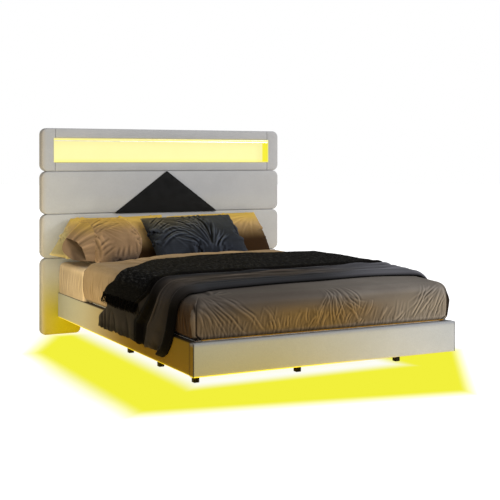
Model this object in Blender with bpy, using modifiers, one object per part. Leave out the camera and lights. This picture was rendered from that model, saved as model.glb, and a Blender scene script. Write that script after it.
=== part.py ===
"""A made-up upholstered bed: a panelled headboard with a lit niche, a low frame and its bedding.

Units are metres. +Z is up, +X is to the right of someone who looks at the headboard from the foot,
and +Y runs from the foot to the head. The origin is on the floor, under the middle of the bed.
"""

import math
from collections import namedtuple

import bmesh
import bpy
import numpy as np

# Gaps
FIT = 0.0003  # between pieces that touch
DRAPE_GAP = 0.0010  # between one layer of bedding and the next
CUT_OVERRUN = 0.020
ROUNDING = 0.000001  # more than the rounding error of a mesh's numbers
SHARP_DEG = 40.0

# Mattress
MATTRESS_WIDTH = 1.372
MATTRESS_LENGTH = 1.905
MATTRESS_HEIGHT = 0.240
MATTRESS_ROUND = 0.045
MATTRESS_SIDE_GAP = 0.004
MATTRESS_FOOT_GAP = 0.005
MATTRESS_HEAD_GAP = 0.025
MATTRESS_SINK = 0.056  # how far the slats lie below the top of the rails

# Rails
RAIL_BOTTOM = 0.1045
RAIL_HEIGHT = 0.1516
SIDE_RAIL_THICKNESS = 0.030
FOOT_RAIL_THICKNESS = 0.040
RAIL_COVER = 0.004
RAIL_ROUND = 0.008

# Slats and what carries them
SLAT_COUNT = 10
SLAT_WIDTH = 0.100
SLAT_THICKNESS = 0.018
SLAT_END_GAP = 0.004
SLAT_FIRST_GAP = 0.030
SLAT_ROUND = 0.003
LEDGE_SIZE = 0.025
CROSS_RAIL_THICKNESS = 0.030
CROSS_RAIL_SETBACK = 0.020
BEARER_WIDTH = 0.030
BEARER_HEIGHT = 0.060
LEFT_BEARER_LEDGE_GAP = 0.1097  # between a bearer and the slat ledge beside it
RIGHT_BEARER_LEDGE_GAP = 0.0197
MIDDLE_BEARER_PLACE = 0.024
TIMBER_ROUND = 0.002

# Legs, three under each bearer
LEG_SIZE = 0.029
LEG_FIRST_ROW = 0.370
LEG_ROW_PITCH = 0.425
LEG_ROWS = 3

# Headboard
HEADBOARD_WIDTH = 1.6424
PANEL_DEPTH = 0.055
PANEL_JOINT = 0.0006
PANEL_CORNER = 0.040
PANEL_EDGE = 0.010
BACK_DEPTH = 0.030
LEG_PANEL_WIDTH = 0.2472
LEG_PANEL_HEIGHT = 0.4657
LEG_PANEL_FOOT_CORNER = 0.030
THIRD_ROW_HEIGHT = 0.2667
SECOND_ROW_HEIGHT = 0.2620
TOP_ROW_HEIGHT = 0.2639
CAP_WIDTH = 0.0865
POST_WIDTH = 0.034
BACK_BOARD_THICKNESS = 0.012
DUST_COVER_THICKNESS = 0.0015
DUST_COVER_SETBACK = 0.020

# Niche
NICHE_BEHIND_CAP = 0.0072  # how far the niche reaches behind each cap
NICHE_HEIGHT = 0.1420
NICHE_SILL = 0.0584  # above the bottom of the top row
NICHE_DEPTH = 0.080
NICHE_WALL = 0.003
NICHE_SETBACK = 0.002
CHANNEL_HEIGHT = 0.0145
CHANNEL_DEPTH = 0.012
CHANNEL_WALL = 0.0012
CHANNEL_LIP = 0.004
CHANNEL_SETBACK = 0.002
DIFFUSER_SETBACK = 0.0008

# Black triangle on the second row
TRIANGLE_HALF_BASE = 0.3583
TRIANGLE_HEIGHT = 0.2640
TRIANGLE_THICKNESS = 0.009
TRIANGLE_ROUND = 0.002

# Charging module in the right end of the third row
MODULE_WIDTH = 0.030
MODULE_HEIGHT = 0.092
MODULE_DEPTH = 0.028
MODULE_RECESS = 0.0010
MODULE_DROP = 0.062  # from the top of its row to the top of the module
MODULE_ROUND = 0.001
PORT_WIDTH = 0.0036
PORT_HEIGHT = 0.0095
PORT_DEPTH = 0.006
PORT_PITCH = 0.018
PORT_COUNT = 2
PORT_RISE = 0.020  # the lowest port's middle, above the bottom of the module
ROCKER_WIDTH = 0.012
ROCKER_HEIGHT = 0.018
ROCKER_THICKNESS = 0.005
ROCKER_CAVITY_DEPTH = 0.008
ROCKER_SIDE_GAP = 0.0003
ROCKER_END_GAP = 0.0009
ROCKER_SINK = 0.0030  # pivot below the face of the module
ROCKER_DROP = 0.024  # pivot below the top of the module
ROCKER_TILT_DEG = 6.0

# Light under the bed
TAPE_HEIGHT = 0.008
TAPE_THICKNESS = 0.002
TAPE_RISE = 0.004
CONTROLLER_WIDTH = 0.030
CONTROLLER_LENGTH = 0.090
CONTROLLER_HEIGHT = 0.024
CONTROLLER_RISE = 0.0135
CONTROLLER_FROM_HEAD = 0.255
CONTROLLER_ROUND = 0.0015
INLET_WIDTH = 0.0095
INLET_HEIGHT = 0.0036
INLET_DEPTH = 0.007
BUTTON_RADIUS = 0.004
BUTTON_GAP = 0.0003
BUTTON_LENGTH = 0.006
BUTTON_PROUD = 0.002
BUTTON_HOLE_DEPTH = 0.006
BUTTON_SIDES = 20

# Bedding: the tucked cover, from the foot up to the pillows
COVER_SIDE = 0.014
COVER_HEAD_SHARE = 0.7743  # of the mattress's length, from its foot
COVER_LOFT = 0.042
COVER_LOFT_SHARE = 0.5433
COVER_FOOT_FALL = 0.030
COVER_HEM = 0.0045  # above the rails
COVER_STATIONS = 16
COVER_ROUND = 0.048
COVER_ACROSS = 16
PLEAT_DEPTH = 0.010
PLEAT_COUNT = 7

# Bedding: the dark comforter, across the bed and over both rails
COMFORTER_TOP = 0.018
COMFORTER_SIDE = 0.011
COMFORTER_CLEAR = 0.0015  # from the side of the rails
COMFORTER_BEND = 0.062
COMFORTER_OVERHANG = 0.100  # below the top of the rails
COMFORTER_HEAD_SHARE = 0.6168
COMFORTER_STATIONS = 19
RIDGE_HEIGHT = 0.016
RIDGE_WIDTH = 0.036
RIDGE_FIRST = 0.030  # back from the comforter's edge
RIDGE_PITCH = 0.1025
RIDGE_COUNT = 3
RIPPLE_HEIGHT = 0.012
RIPPLE_PITCH = 0.190
RIPPLE_RISE = 0.120
FOLD_START = 0.035
FOLD_RAMP = 0.070

# Bedding: the knitted throw on the comforter
THROW_THICKNESS = 0.012
THROW_HEM_RISE = 0.044  # above the top of the rails
THROW_STATIONS = 11
THROW_SHOULDER = 0.010
THROW_STEP = 0.040

# Where the edges of the comforter and the throw run, from the left hem over the top to the right hem.
# Each place is (share of the way from the middle to a hem, share of the mattress's length from its foot).
COMFORTER_FOOT_SHARES = (
    (-1.00, 0.115),
    (-0.88, 0.066),
    (-0.74, 0.037),
    (-0.61, 0.064),
    (-0.30, 0.099),
    (0.15, 0.124),
    (0.38, 0.139),
    (0.59, 0.121),
    (0.74, 0.081),
    (1.00, 0.126),
)
THROW_FOOT_SHARES = (
    (-1.00, 0.309),
    (-0.84, 0.228),
    (-0.69, 0.255),
    (-0.53, 0.302),
    (0.00, 0.312),
    (0.46, 0.276),
    (1.00, 0.291),
)
THROW_HEAD_SHARES = (
    (-1.00, 0.565),
    (-0.84, 0.538),
    (-0.66, 0.543),
    (-0.46, 0.617),
    (-0.29, 0.656),
    (0.33, 0.672),
    (1.00, 0.648),
)
CROSS_STEPS_HANG = 6
CROSS_STEPS_BEND = 4
CROSS_STEPS_TOP = 11

# Pillows, leaning against the headboard
PILLOW_LEAN_DEG = 45.0
PILLOW_LIFT = 0.0008
PILLOW_COLUMNS = 12
PILLOW_ROWS = 9
PILLOW_SIDE_POWER = 2.6
PILLOW_CROWN_POWER = 0.62
PILLOW_RIM_SHARE = 0.09
PILLOW_PINCH_SHARE = 0.07

PILLOW_HEIGHT = 0.395
PILLOW_BULGE = 0.085
PILLOW_PARTING = 0.018  # between the two pillows of a row
BACK_PILLOW_FRONT = 0.028
BACK_PILLOW_HEAD_GAP = 0.0177  # from the headboard to the top edge
BACK_PARTING_SHARE = -0.0507  # of half the mattress's width
LEFT_BACK_PILLOW_WIDTH = 0.710
LEFT_BACK_TAPER_SHARE = 0.09
RIGHT_BACK_PILLOW_WIDTH = 0.650
RIGHT_BACK_TAPER_SHARE = 0.02
FRONT_PILLOW_BACK = 0.022
FRONT_PARTING_SHARE = -0.3598
CREASED_PILLOW_WIDTH = 0.480
CREASED_PILLOW_HEIGHT = 0.385
CREASED_PILLOW_BULGE = 0.082
CREASED_PILLOW_GAP = 0.0334  # from the pillow behind
CREASED_TAPER_SHARE = 0.06
SLATE_PILLOW_WIDTH = 0.640
SLATE_PILLOW_GAP = 0.0228

# Places that follow from the sizes
TOTAL_LENGTH = (
    FOOT_RAIL_THICKNESS
    + MATTRESS_FOOT_GAP
    + MATTRESS_LENGTH
    + MATTRESS_HEAD_GAP
    + PANEL_DEPTH
    + BACK_DEPTH
)
FOOT_FACE = -TOTAL_LENGTH / 2
FOOT_INSIDE = FOOT_FACE + FOOT_RAIL_THICKNESS
MATTRESS_FOOT = FOOT_INSIDE + MATTRESS_FOOT_GAP
MATTRESS_HEAD = MATTRESS_FOOT + MATTRESS_LENGTH
HEAD_FACE = MATTRESS_HEAD + MATTRESS_HEAD_GAP
PANEL_BACK = HEAD_FACE + PANEL_DEPTH
BACK_FACE = PANEL_BACK + BACK_DEPTH

RAIL_TOP = RAIL_BOTTOM + RAIL_HEIGHT
RAIL_INSIDE = MATTRESS_WIDTH / 2 + MATTRESS_SIDE_GAP
RAIL_OUTSIDE = RAIL_INSIDE + SIDE_RAIL_THICKNESS
SLAT_TOP = RAIL_TOP - MATTRESS_SINK
SLAT_BOTTOM = SLAT_TOP - SLAT_THICKNESS
SUPPORT_TOP = SLAT_BOTTOM - FIT
BEARER_BOTTOM = SUPPORT_TOP - BEARER_HEIGHT
OUTERMOST_BEARER_PLACE = RAIL_INSIDE - FIT - LEDGE_SIZE - BEARER_WIDTH / 2
CROSS_RAIL_HEAD = HEAD_FACE - CROSS_RAIL_SETBACK
CROSS_RAIL_FOOT = CROSS_RAIL_HEAD - CROSS_RAIL_THICKNESS
MATTRESS_BOTTOM = SLAT_TOP + FIT
MATTRESS_TOP = MATTRESS_BOTTOM + MATTRESS_HEIGHT

COVER_HEAD_EDGE = MATTRESS_FOOT + COVER_HEAD_SHARE * MATTRESS_LENGTH
COVER_LOFT_AT = MATTRESS_FOOT + COVER_LOFT_SHARE * MATTRESS_LENGTH
COMFORTER_HEAD_EDGE = MATTRESS_FOOT + COMFORTER_HEAD_SHARE * MATTRESS_LENGTH
COMFORTER_HALF = RAIL_OUTSIDE + COMFORTER_CLEAR
COMFORTER_HEM = RAIL_TOP - COMFORTER_OVERHANG
COMFORTER_CROWN = MATTRESS_TOP + COVER_LOFT + DRAPE_GAP
BEND_SAVING = (2 - math.pi / 2) * COMFORTER_BEND  # what a round bend saves on a square corner
COMFORTER_SPAN = COMFORTER_HALF + COMFORTER_CROWN - COMFORTER_HEM - BEND_SAVING
THROW_HALF = COMFORTER_HALF + COMFORTER_SIDE + DRAPE_GAP
THROW_HEM = RAIL_TOP + THROW_HEM_RISE
THROW_CROWN = COMFORTER_CROWN + COMFORTER_TOP + DRAPE_GAP
THROW_SPAN = THROW_HALF + THROW_CROWN - THROW_HEM - BEND_SAVING

HEAD_HALF = HEADBOARD_WIDTH / 2
THIRD_ROW = LEG_PANEL_HEIGHT
SECOND_ROW = THIRD_ROW + THIRD_ROW_HEIGHT
TOP_ROW = SECOND_ROW + SECOND_ROW_HEIGHT
HEAD_TOP = TOP_ROW + TOP_ROW_HEIGHT
SEAM = HEAD_HALF - CAP_WIDTH
POST_OUTSIDE = HEAD_HALF - PANEL_CORNER
POST_INSIDE = POST_OUTSIDE - POST_WIDTH
NICHE_HALF = SEAM + NICHE_BEHIND_CAP
NICHE_BOTTOM = TOP_ROW + NICHE_SILL
NICHE_TOP = NICHE_BOTTOM + NICHE_HEIGHT

LEAN = math.radians(PILLOW_LEAN_DEG)

# Colours
WARM_WHITE = (0.60, 0.56, 0.51, 1.0)
NEAR_BLACK = (0.012, 0.012, 0.013, 1.0)
TAN = (0.46, 0.31, 0.18, 1.0)
TAUPE = (0.19, 0.145, 0.105, 1.0)
BROWN_GREY = (0.070, 0.055, 0.046, 1.0)
CHARCOAL = (0.020, 0.019, 0.019, 1.0)
SLATE = (0.055, 0.065, 0.085, 1.0)
PINE = (0.55, 0.38, 0.22, 1.0)
PLYWOOD = (0.45, 0.31, 0.18, 1.0)
GLOW_YELLOW = (0.95, 0.80, 0.12, 1.0)
LINER_CREAM = (0.85, 0.80, 0.55, 1.0)
SILVER = (0.55, 0.55, 0.56, 1.0)


def clear_scene():
    for obj in list(bpy.data.objects):
        bpy.data.objects.remove(obj, do_unlink=True)


def new_collection(name, hidden):
    collection = bpy.data.collections.new(name)
    bpy.context.scene.collection.children.link(collection)
    collection.hide_render = hidden
    return collection


def material(name, colour, roughness, metallic=0.0):
    made = bpy.data.materials.get(name)
    if made is None:
        made = bpy.data.materials.new(name)
        made.use_nodes = True
        shader = made.node_tree.nodes["Principled BSDF"]
        shader.inputs["Base Color"].default_value = colour
        shader.inputs["Roughness"].default_value = roughness
        shader.inputs["Metallic"].default_value = metallic
        made.diffuse_color = colour
    return made


def add_object(name, mesh, surface, location=(0, 0, 0)):
    obj = bpy.data.objects.new(name, mesh)
    obj.location = location
    PARTS.objects.link(obj)
    if surface:
        mesh.materials.append(material(*surface))
    return obj


def finish_mesh(name, bm):
    bmesh.ops.recalc_face_normals(bm, faces=bm.faces)
    mesh = bpy.data.meshes.new(name)
    bm.to_mesh(mesh)
    bm.free()
    return mesh


def box(name, low, high, surface, rounding=0.0, steps=1):
    """A box between two corners, its origin at its middle and its edges rounded."""
    middle = [(a + b) / 2 for a, b in zip(low, high)]
    bm = bmesh.new()
    bmesh.ops.create_cube(bm, size=1)
    bmesh.ops.scale(bm, vec=[b - a for a, b in zip(low, high)], verts=bm.verts)
    obj = add_object(name, finish_mesh(name, bm), surface, middle)
    if rounding:
        add_bevel(obj, rounding, steps)
    return obj


def add_bevel(obj, width, steps, by_weight=False):
    bevel = obj.modifiers.new("Bevel", "BEVEL")
    bevel.width = width
    bevel.segments = steps
    bevel.limit_method = "WEIGHT" if by_weight else "ANGLE"
    bevel.angle_limit = math.radians(SHARP_DEG)


def weigh_edges(obj, weight_of):
    """Gives each edge the share of the bevel's width that weight_of works out from its two ends."""
    bm = bmesh.new()
    bm.from_mesh(obj.data)
    weight = bm.edges.layers.float.new("bevel_weight_edge")
    for edge in bm.edges:
        edge[weight] = weight_of(*(vertex.co for vertex in edge.verts))
    bm.to_mesh(obj.data)
    bm.free()


def as_cutter(obj):
    """Turns a finished object into a hidden cutter."""
    PARTS.objects.unlink(obj)
    CUTTERS.objects.link(obj)
    obj.hide_render = True
    obj.display_type = "WIRE"
    return obj


def cut(obj, cutter):
    boolean = obj.modifiers.new("Cut", "BOOLEAN")
    boolean.operation = "DIFFERENCE"
    boolean.solver = "EXACT"
    boolean.object = cutter


def cut_box(obj, name, low, high, rounding=0.0, steps=1):
    cut(obj, as_cutter(box(name, low, high, None, rounding, steps)))


def upholstered_panel(name, low, high, corners):
    """A padded panel. corners maps (x side, z side) to the radius of that corner, seen from the front."""
    obj = box(name, low, high, ("panel_fabric", WARM_WHITE, 0.85))

    def corner_weight(start, end):
        side = (int(math.copysign(1, start.x + end.x)), int(math.copysign(1, start.z + end.z)))
        runs_back = abs(start.y - end.y) > 0
        return corners.get(side, 0) / PANEL_CORNER if runs_back else 0

    if corners:
        weigh_edges(obj, corner_weight)
        add_bevel(obj, PANEL_CORNER, 4, by_weight=True)
    add_bevel(obj, PANEL_EDGE, 2)
    return obj


def row_panel(name, bottom, top):
    low = (-HEAD_HALF, HEAD_FACE, bottom + PANEL_JOINT / 2)
    high = (HEAD_HALF, PANEL_BACK, top - PANEL_JOINT / 2)
    corners = {(x, z): PANEL_CORNER for x in (-1, 1) for z in (-1, 1)}
    return upholstered_panel(name, low, high, corners)


def leg_panel(name, side):
    inner = HEAD_HALF - LEG_PANEL_WIDTH
    low = (min(side * inner, side * HEAD_HALF), HEAD_FACE, 0)
    high = (max(side * inner, side * HEAD_HALF), PANEL_BACK, LEG_PANEL_HEIGHT - PANEL_JOINT / 2)
    corners = {
        (side, 1): PANEL_CORNER,
        (side, -1): LEG_PANEL_FOOT_CORNER,
        (-side, -1): LEG_PANEL_FOOT_CORNER,
    }
    return upholstered_panel(name, low, high, corners)


def niche_space(grow):
    """The corners of the niche's liner, grown by a gap on every side but the front."""
    half = NICHE_HALF + NICHE_WALL + grow
    low = (-half, HEAD_FACE - CUT_OVERRUN, NICHE_BOTTOM - NICHE_WALL - grow)
    high = (half, PANEL_BACK + CUT_OVERRUN, NICHE_TOP + NICHE_WALL + grow)
    return low, high


def top_row_cap(name, side):
    near = SEAM + PANEL_JOINT / 2
    low = (min(side * near, side * HEAD_HALF), HEAD_FACE, TOP_ROW + PANEL_JOINT / 2)
    high = (max(side * near, side * HEAD_HALF), PANEL_BACK, HEAD_TOP)
    obj = upholstered_panel(name, low, high, {(side, 1): PANEL_CORNER, (side, -1): PANEL_CORNER})
    cut_box(obj, name + "_notch", *niche_space(FIT))


def top_row_strips():
    half = SEAM - PANEL_JOINT / 2
    liner_bottom = NICHE_BOTTOM - NICHE_WALL - FIT
    liner_top = NICHE_TOP + NICHE_WALL + FIT
    low = (-half, HEAD_FACE, TOP_ROW + PANEL_JOINT / 2)
    upholstered_panel("top_row_lower_strip", low, (half, PANEL_BACK, liner_bottom), {})
    high = (half, PANEL_BACK, HEAD_TOP)
    upholstered_panel("top_row_upper_strip", (-half, HEAD_FACE, liner_top), high, {})


def niche():
    half = NICHE_HALF + NICHE_WALL
    front = HEAD_FACE + NICHE_SETBACK
    back = BACK_FACE - DUST_COVER_THICKNESS - FIT
    low = (-half, front, NICHE_BOTTOM - NICHE_WALL)
    high = (half, back, NICHE_TOP + NICHE_WALL)
    liner = box("niche_liner", low, high, ("niche_laminate", LINER_CREAM, 0.5))
    inner_low = (-NICHE_HALF, front - CUT_OVERRUN, NICHE_BOTTOM)
    inner_high = (NICHE_HALF, HEAD_FACE + NICHE_DEPTH, NICHE_TOP)
    cut_box(liner, "niche_hollow", inner_low, inner_high)
    niche_light(front + CHANNEL_SETBACK)


def niche_light(front):
    half = NICHE_HALF - FIT
    top = NICHE_TOP - FIT
    low = (-half, front, top - CHANNEL_HEIGHT)
    high = (half, front + CHANNEL_DEPTH, top)
    channel = box("niche_light_channel", low, high, ("channel_metal", SILVER, 0.35, 1.0))
    slot_low = (-half - CUT_OVERRUN, front - CUT_OVERRUN, low[2] + CHANNEL_LIP)
    slot_high = (half + CUT_OVERRUN, high[1] - CHANNEL_WALL, top - CHANNEL_WALL)
    cut_box(channel, "channel_slot", slot_low, slot_high)
    strip_low = (-half, front + DIFFUSER_SETBACK, slot_low[2] + FIT)
    strip_high = (half, slot_high[1] - FIT, slot_high[2] - FIT)
    box("niche_light_diffuser", strip_low, strip_high, ("diffuser", GLOW_YELLOW, 0.4))


def triangle_panel():
    """A flat black triangle, pinned to the face of the second row, its base over the joint below."""
    bottom = TOP_ROW - TRIANGLE_HEIGHT
    curve = bpy.data.curves.new("triangle_outline", "CURVE")
    curve.dimensions = "2D"
    curve.fill_mode = "BOTH"
    curve.extrude = TRIANGLE_THICKNESS / 2
    line = curve.splines.new("POLY")
    line.points.add(2)
    corners = ((-TRIANGLE_HALF_BASE, 0), (TRIANGLE_HALF_BASE, 0), (0, TRIANGLE_HEIGHT))
    for point, (x, y) in zip(line.points, corners):
        point.co = (x, y, 0, 1)
    line.use_cyclic_u = True
    place = (0, HEAD_FACE - FIT - TRIANGLE_THICKNESS / 2, bottom)
    obj = curve_as_mesh("triangle_panel", curve, ("triangle_leather", NEAR_BLACK, 0.5))
    obj.location = place
    obj.rotation_euler = (math.radians(90), 0, 0)
    add_bevel(obj, TRIANGLE_ROUND, 1)


def curve_as_mesh(name, curve, surface):
    """The curve's solid as a mesh with its caps welded."""
    guide = bpy.data.objects.new(name + "_curve", curve)
    PARTS.objects.link(guide)
    bpy.context.view_layer.update()
    graph = bpy.context.evaluated_depsgraph_get()
    mesh = bpy.data.meshes.new_from_object(guide.evaluated_get(graph))
    bpy.data.objects.remove(guide, do_unlink=True)
    bm = bmesh.new()
    bm.from_mesh(mesh)
    bmesh.ops.remove_doubles(bm, verts=bm.verts, dist=FIT / 10)
    bmesh.ops.recalc_face_normals(bm, faces=bm.faces)
    bm.to_mesh(mesh)
    bm.free()
    mesh.materials.clear()
    return add_object(name, mesh, surface)


def headboard_back():
    posts_back = BACK_FACE - DUST_COVER_THICKNESS - FIT
    pine = ("pine", PINE, 0.6)
    for name, side in (("headboard_post_left", -1), ("headboard_post_right", 1)):
        ends = sorted((side * POST_INSIDE, side * POST_OUTSIDE))
        low = (ends[0], PANEL_BACK + FIT, 0)
        high = (ends[1], posts_back, HEAD_TOP - DUST_COVER_SETBACK)
        box(name, low, high, pine, TIMBER_ROUND)
    half = POST_INSIDE - FIT
    low = (-half, PANEL_BACK + FIT, RAIL_BOTTOM)
    high = (half, PANEL_BACK + FIT + BACK_BOARD_THICKNESS, NICHE_BOTTOM - NICHE_WALL - FIT)
    box("headboard_back_board", low, high, ("plywood", PLYWOOD, 0.7))
    low = (-POST_OUTSIDE, BACK_FACE - DUST_COVER_THICKNESS, RAIL_BOTTOM)
    high = (POST_OUTSIDE, BACK_FACE, HEAD_TOP - DUST_COVER_SETBACK)
    box("headboard_dust_cover", low, high, ("dust_cloth", NEAR_BLACK, 0.9))


def charging_module(row_panel_object):
    """A small housing with two charging ports and a rocker, set flush in the right end of its row."""
    face = HEAD_HALF - MODULE_RECESS
    middle = (HEAD_FACE + PANEL_BACK) / 2
    top = SECOND_ROW - PANEL_JOINT / 2 - MODULE_DROP
    bottom = top - MODULE_HEIGHT
    low = (face - MODULE_DEPTH, middle - MODULE_WIDTH / 2, bottom)
    high = (face, middle + MODULE_WIDTH / 2, top)
    pocket_low = [value - FIT for value in low]
    pocket_high = (HEAD_HALF + CUT_OVERRUN, high[1] + FIT, high[2] + FIT)
    cut_box(row_panel_object, "module_pocket", pocket_low, pocket_high)
    plastic = ("black_plastic", NEAR_BLACK, 0.4)
    module = box("charging_module", low, high, plastic, MODULE_ROUND)
    for port in range(PORT_COUNT):
        height = bottom + PORT_RISE + port * PORT_PITCH
        port_low = (face - PORT_DEPTH, middle - PORT_WIDTH / 2, height - PORT_HEIGHT / 2)
        port_high = (face + CUT_OVERRUN, middle + PORT_WIDTH / 2, height + PORT_HEIGHT / 2)
        cut_box(module, f"charging_port_{port + 1}", port_low, port_high)
    rocker(module, face, middle, top - ROCKER_DROP)


def rocker(module, face, middle, height):
    """The switch, tilted to off. Its pivot runs along Y, below the face of the module."""
    half_width = ROCKER_WIDTH / 2 + ROCKER_SIDE_GAP
    half_height = ROCKER_HEIGHT / 2 + ROCKER_END_GAP
    low = (face - ROCKER_CAVITY_DEPTH, middle - half_width, height - half_height)
    high = (face + CUT_OVERRUN, middle + half_width, height + half_height)
    cut_box(module, "rocker_cavity", low, high)
    pivot = (face - ROCKER_SINK, middle, height)
    half = (ROCKER_THICKNESS / 2, ROCKER_WIDTH / 2, ROCKER_HEIGHT / 2)
    low = [p - h for p, h in zip(pivot, half)]
    high = [p + h for p, h in zip(pivot, half)]
    obj = box("rocker_switch", low, high, ("switch_plastic", NEAR_BLACK, 0.25), MODULE_ROUND / 2)
    obj.rotation_euler = (0, math.radians(ROCKER_TILT_DEG), 0)


def covered_rail(name, low, high, open_sides):
    """A board in a padded cover. The cover is open at the inside face and, on a side rail, at its ends.

    open_sides holds, for each axis, the sides without cover: (axis, sign).
    """
    cover = box(name + "_cover", low, high, ("rail_fabric", WARM_WHITE, 0.85))

    def closed_weight(start, end):
        in_open_face = any(start[a] * sign > 0 and end[a] * sign > 0 for a, sign in open_sides)
        return 0 if in_open_face else 1

    weigh_edges(cover, closed_weight)
    add_bevel(cover, RAIL_ROUND, 2, by_weight=True)
    hollow_low = [value + RAIL_COVER for value in low]
    hollow_high = [value - RAIL_COVER for value in high]
    board_low = [value + FIT for value in hollow_low]
    board_high = [value - FIT for value in hollow_high]
    for axis, sign in open_sides:
        if sign > 0:
            hollow_high[axis] = high[axis] + CUT_OVERRUN
            board_high[axis] = high[axis]
        else:
            hollow_low[axis] = low[axis] - CUT_OVERRUN
            board_low[axis] = low[axis]
    cut_box(cover, name + "_hollow", hollow_low, hollow_high)
    box(name + "_board", board_low, board_high, ("plywood", PLYWOOD, 0.7))


def rails():
    for name, side in (("side_rail_left", -1), ("side_rail_right", 1)):
        ends = sorted((side * RAIL_INSIDE, side * RAIL_OUTSIDE))
        low = (ends[0], FOOT_INSIDE + FIT, RAIL_BOTTOM)
        high = (ends[1], HEAD_FACE - FIT, RAIL_TOP)
        covered_rail(name, low, high, ((0, -side), (1, -1), (1, 1)))
    low = (-RAIL_OUTSIDE, FOOT_FACE, RAIL_BOTTOM)
    high = (RAIL_OUTSIDE, FOOT_INSIDE, RAIL_TOP)
    covered_rail("foot_rail", low, high, ((1, 1),))


def slat_supports():
    pine = ("pine", PINE, 0.6)
    inside = RAIL_INSIDE - FIT
    for name, side in (("slat_ledge_left", -1), ("slat_ledge_right", 1)):
        ends = sorted((side * (inside - LEDGE_SIZE), side * inside))
        low = (ends[0], FOOT_INSIDE + FIT, SUPPORT_TOP - LEDGE_SIZE)
        box(name, low, (ends[1], CROSS_RAIL_FOOT - FIT, SUPPORT_TOP), pine, TIMBER_ROUND)
    low = (-inside, CROSS_RAIL_FOOT, BEARER_BOTTOM)
    box("head_cross_rail", low, (inside, CROSS_RAIL_HEAD, SUPPORT_TOP), pine, TIMBER_ROUND)
    for name, centre in (
        ("left", -OUTERMOST_BEARER_PLACE + LEFT_BEARER_LEDGE_GAP),
        ("middle", MIDDLE_BEARER_PLACE),
        ("right", OUTERMOST_BEARER_PLACE - RIGHT_BEARER_LEDGE_GAP),
    ):
        low = (centre - BEARER_WIDTH / 2, FOOT_INSIDE + FIT, BEARER_BOTTOM)
        high = (centre + BEARER_WIDTH / 2, CROSS_RAIL_FOOT - FIT, SUPPORT_TOP)
        box(f"bearer_{name}", low, high, pine, TIMBER_ROUND)
        legs(name, centre)


def legs(name, centre):
    half = LEG_SIZE / 2
    for row in range(LEG_ROWS):
        place = FOOT_FACE + LEG_FIRST_ROW + row * LEG_ROW_PITCH
        low = (centre - half, place - half, 0)
        high = (centre + half, place + half, BEARER_BOTTOM - FIT)
        box(f"leg_{name}_{row + 1}", low, high, ("leg_plastic", NEAR_BLACK, 0.5), TIMBER_ROUND)


def slats():
    half = RAIL_INSIDE - SLAT_END_GAP
    first = FOOT_INSIDE + SLAT_FIRST_GAP
    pitch = (CROSS_RAIL_HEAD - SLAT_WIDTH - first) / (SLAT_COUNT - 1)
    for index in range(SLAT_COUNT):
        foot = first + index * pitch
        low = (-half, foot, SLAT_BOTTOM)
        high = (half, foot + SLAT_WIDTH, SLAT_TOP)
        box(f"slat_{index + 1:02d}", low, high, ("slat_wood", PINE, 0.5), SLAT_ROUND)


def light_tape():
    """One tape of lights along the inside of the left, foot and right rails."""
    outer = RAIL_INSIDE - FIT
    inner = outer - TAPE_THICKNESS
    foot = FOOT_INSIDE + FIT
    head = CROSS_RAIL_FOOT
    outline = (
        (-outer, head),
        (-outer, foot),
        (outer, foot),
        (outer, head),
        (inner, head),
        (inner, foot + TAPE_THICKNESS),
        (-inner, foot + TAPE_THICKNESS),
        (-inner, head),
    )
    curve = bpy.data.curves.new("tape_outline", "CURVE")
    curve.dimensions = "2D"
    curve.fill_mode = "BOTH"
    curve.extrude = TAPE_HEIGHT / 2
    line = curve.splines.new("POLY")
    line.points.add(len(outline) - 1)
    for point, (x, y) in zip(line.points, outline):
        point.co = (x, y, 0, 1)
    line.use_cyclic_u = True
    obj = curve_as_mesh("under_bed_light_tape", curve, ("light_tape", GLOW_YELLOW, 0.4))
    obj.location = (0, 0, RAIL_BOTTOM + TAPE_RISE + TAPE_HEIGHT / 2)


def light_controller():
    """The lights' control box on the inside of the right rail, with its button underneath."""
    outer = RAIL_INSIDE - FIT
    foot = CROSS_RAIL_FOOT - CONTROLLER_FROM_HEAD
    bottom = RAIL_BOTTOM + CONTROLLER_RISE
    low = (outer - CONTROLLER_WIDTH, foot, bottom)
    high = (outer, foot + CONTROLLER_LENGTH, bottom + CONTROLLER_HEIGHT)
    plastic = ("black_plastic", NEAR_BLACK, 0.4)
    body = box("light_controller", low, high, plastic, CONTROLLER_ROUND)
    middle = [(a + b) / 2 for a, b in zip(low, high)]
    inlet_low = (middle[0] - INLET_WIDTH / 2, high[1] - INLET_DEPTH, middle[2] - INLET_HEIGHT / 2)
    inlet_high = (middle[0] + INLET_WIDTH / 2, high[1] + CUT_OVERRUN, middle[2] + INLET_HEIGHT / 2)
    cut_box(body, "power_inlet", inlet_low, inlet_high)
    hole = cylinder("button_hole", BUTTON_RADIUS + BUTTON_GAP, CUT_OVERRUN + BUTTON_HOLE_DEPTH, None)
    hole.location = (middle[0], middle[1], bottom + (BUTTON_HOLE_DEPTH - CUT_OVERRUN) / 2)
    cut(body, as_cutter(hole))
    button = cylinder("light_button", BUTTON_RADIUS, BUTTON_LENGTH, ("button_plastic", SILVER, 0.4))
    button.location = (middle[0], middle[1], bottom - BUTTON_PROUD + BUTTON_LENGTH / 2)


def cylinder(name, radius, length, surface):
    bm = bmesh.new()
    bmesh.ops.create_cone(
        bm,
        cap_ends=True,
        segments=BUTTON_SIDES,
        radius1=radius,
        radius2=radius,
        depth=length,
    )
    obj = add_object(name, finish_mesh(name, bm), surface)
    obj.data.shade_smooth()
    obj.data.set_sharp_from_angle(angle=math.radians(SHARP_DEG))
    return obj


def cover_top(place):
    """Height of the top of the tucked cover at a distance along the bed."""
    run = (place - COVER_LOFT_AT) / (COVER_LOFT_AT - MATTRESS_FOOT)
    return MATTRESS_TOP + COVER_LOFT - COVER_FOOT_FALL * run**2


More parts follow.
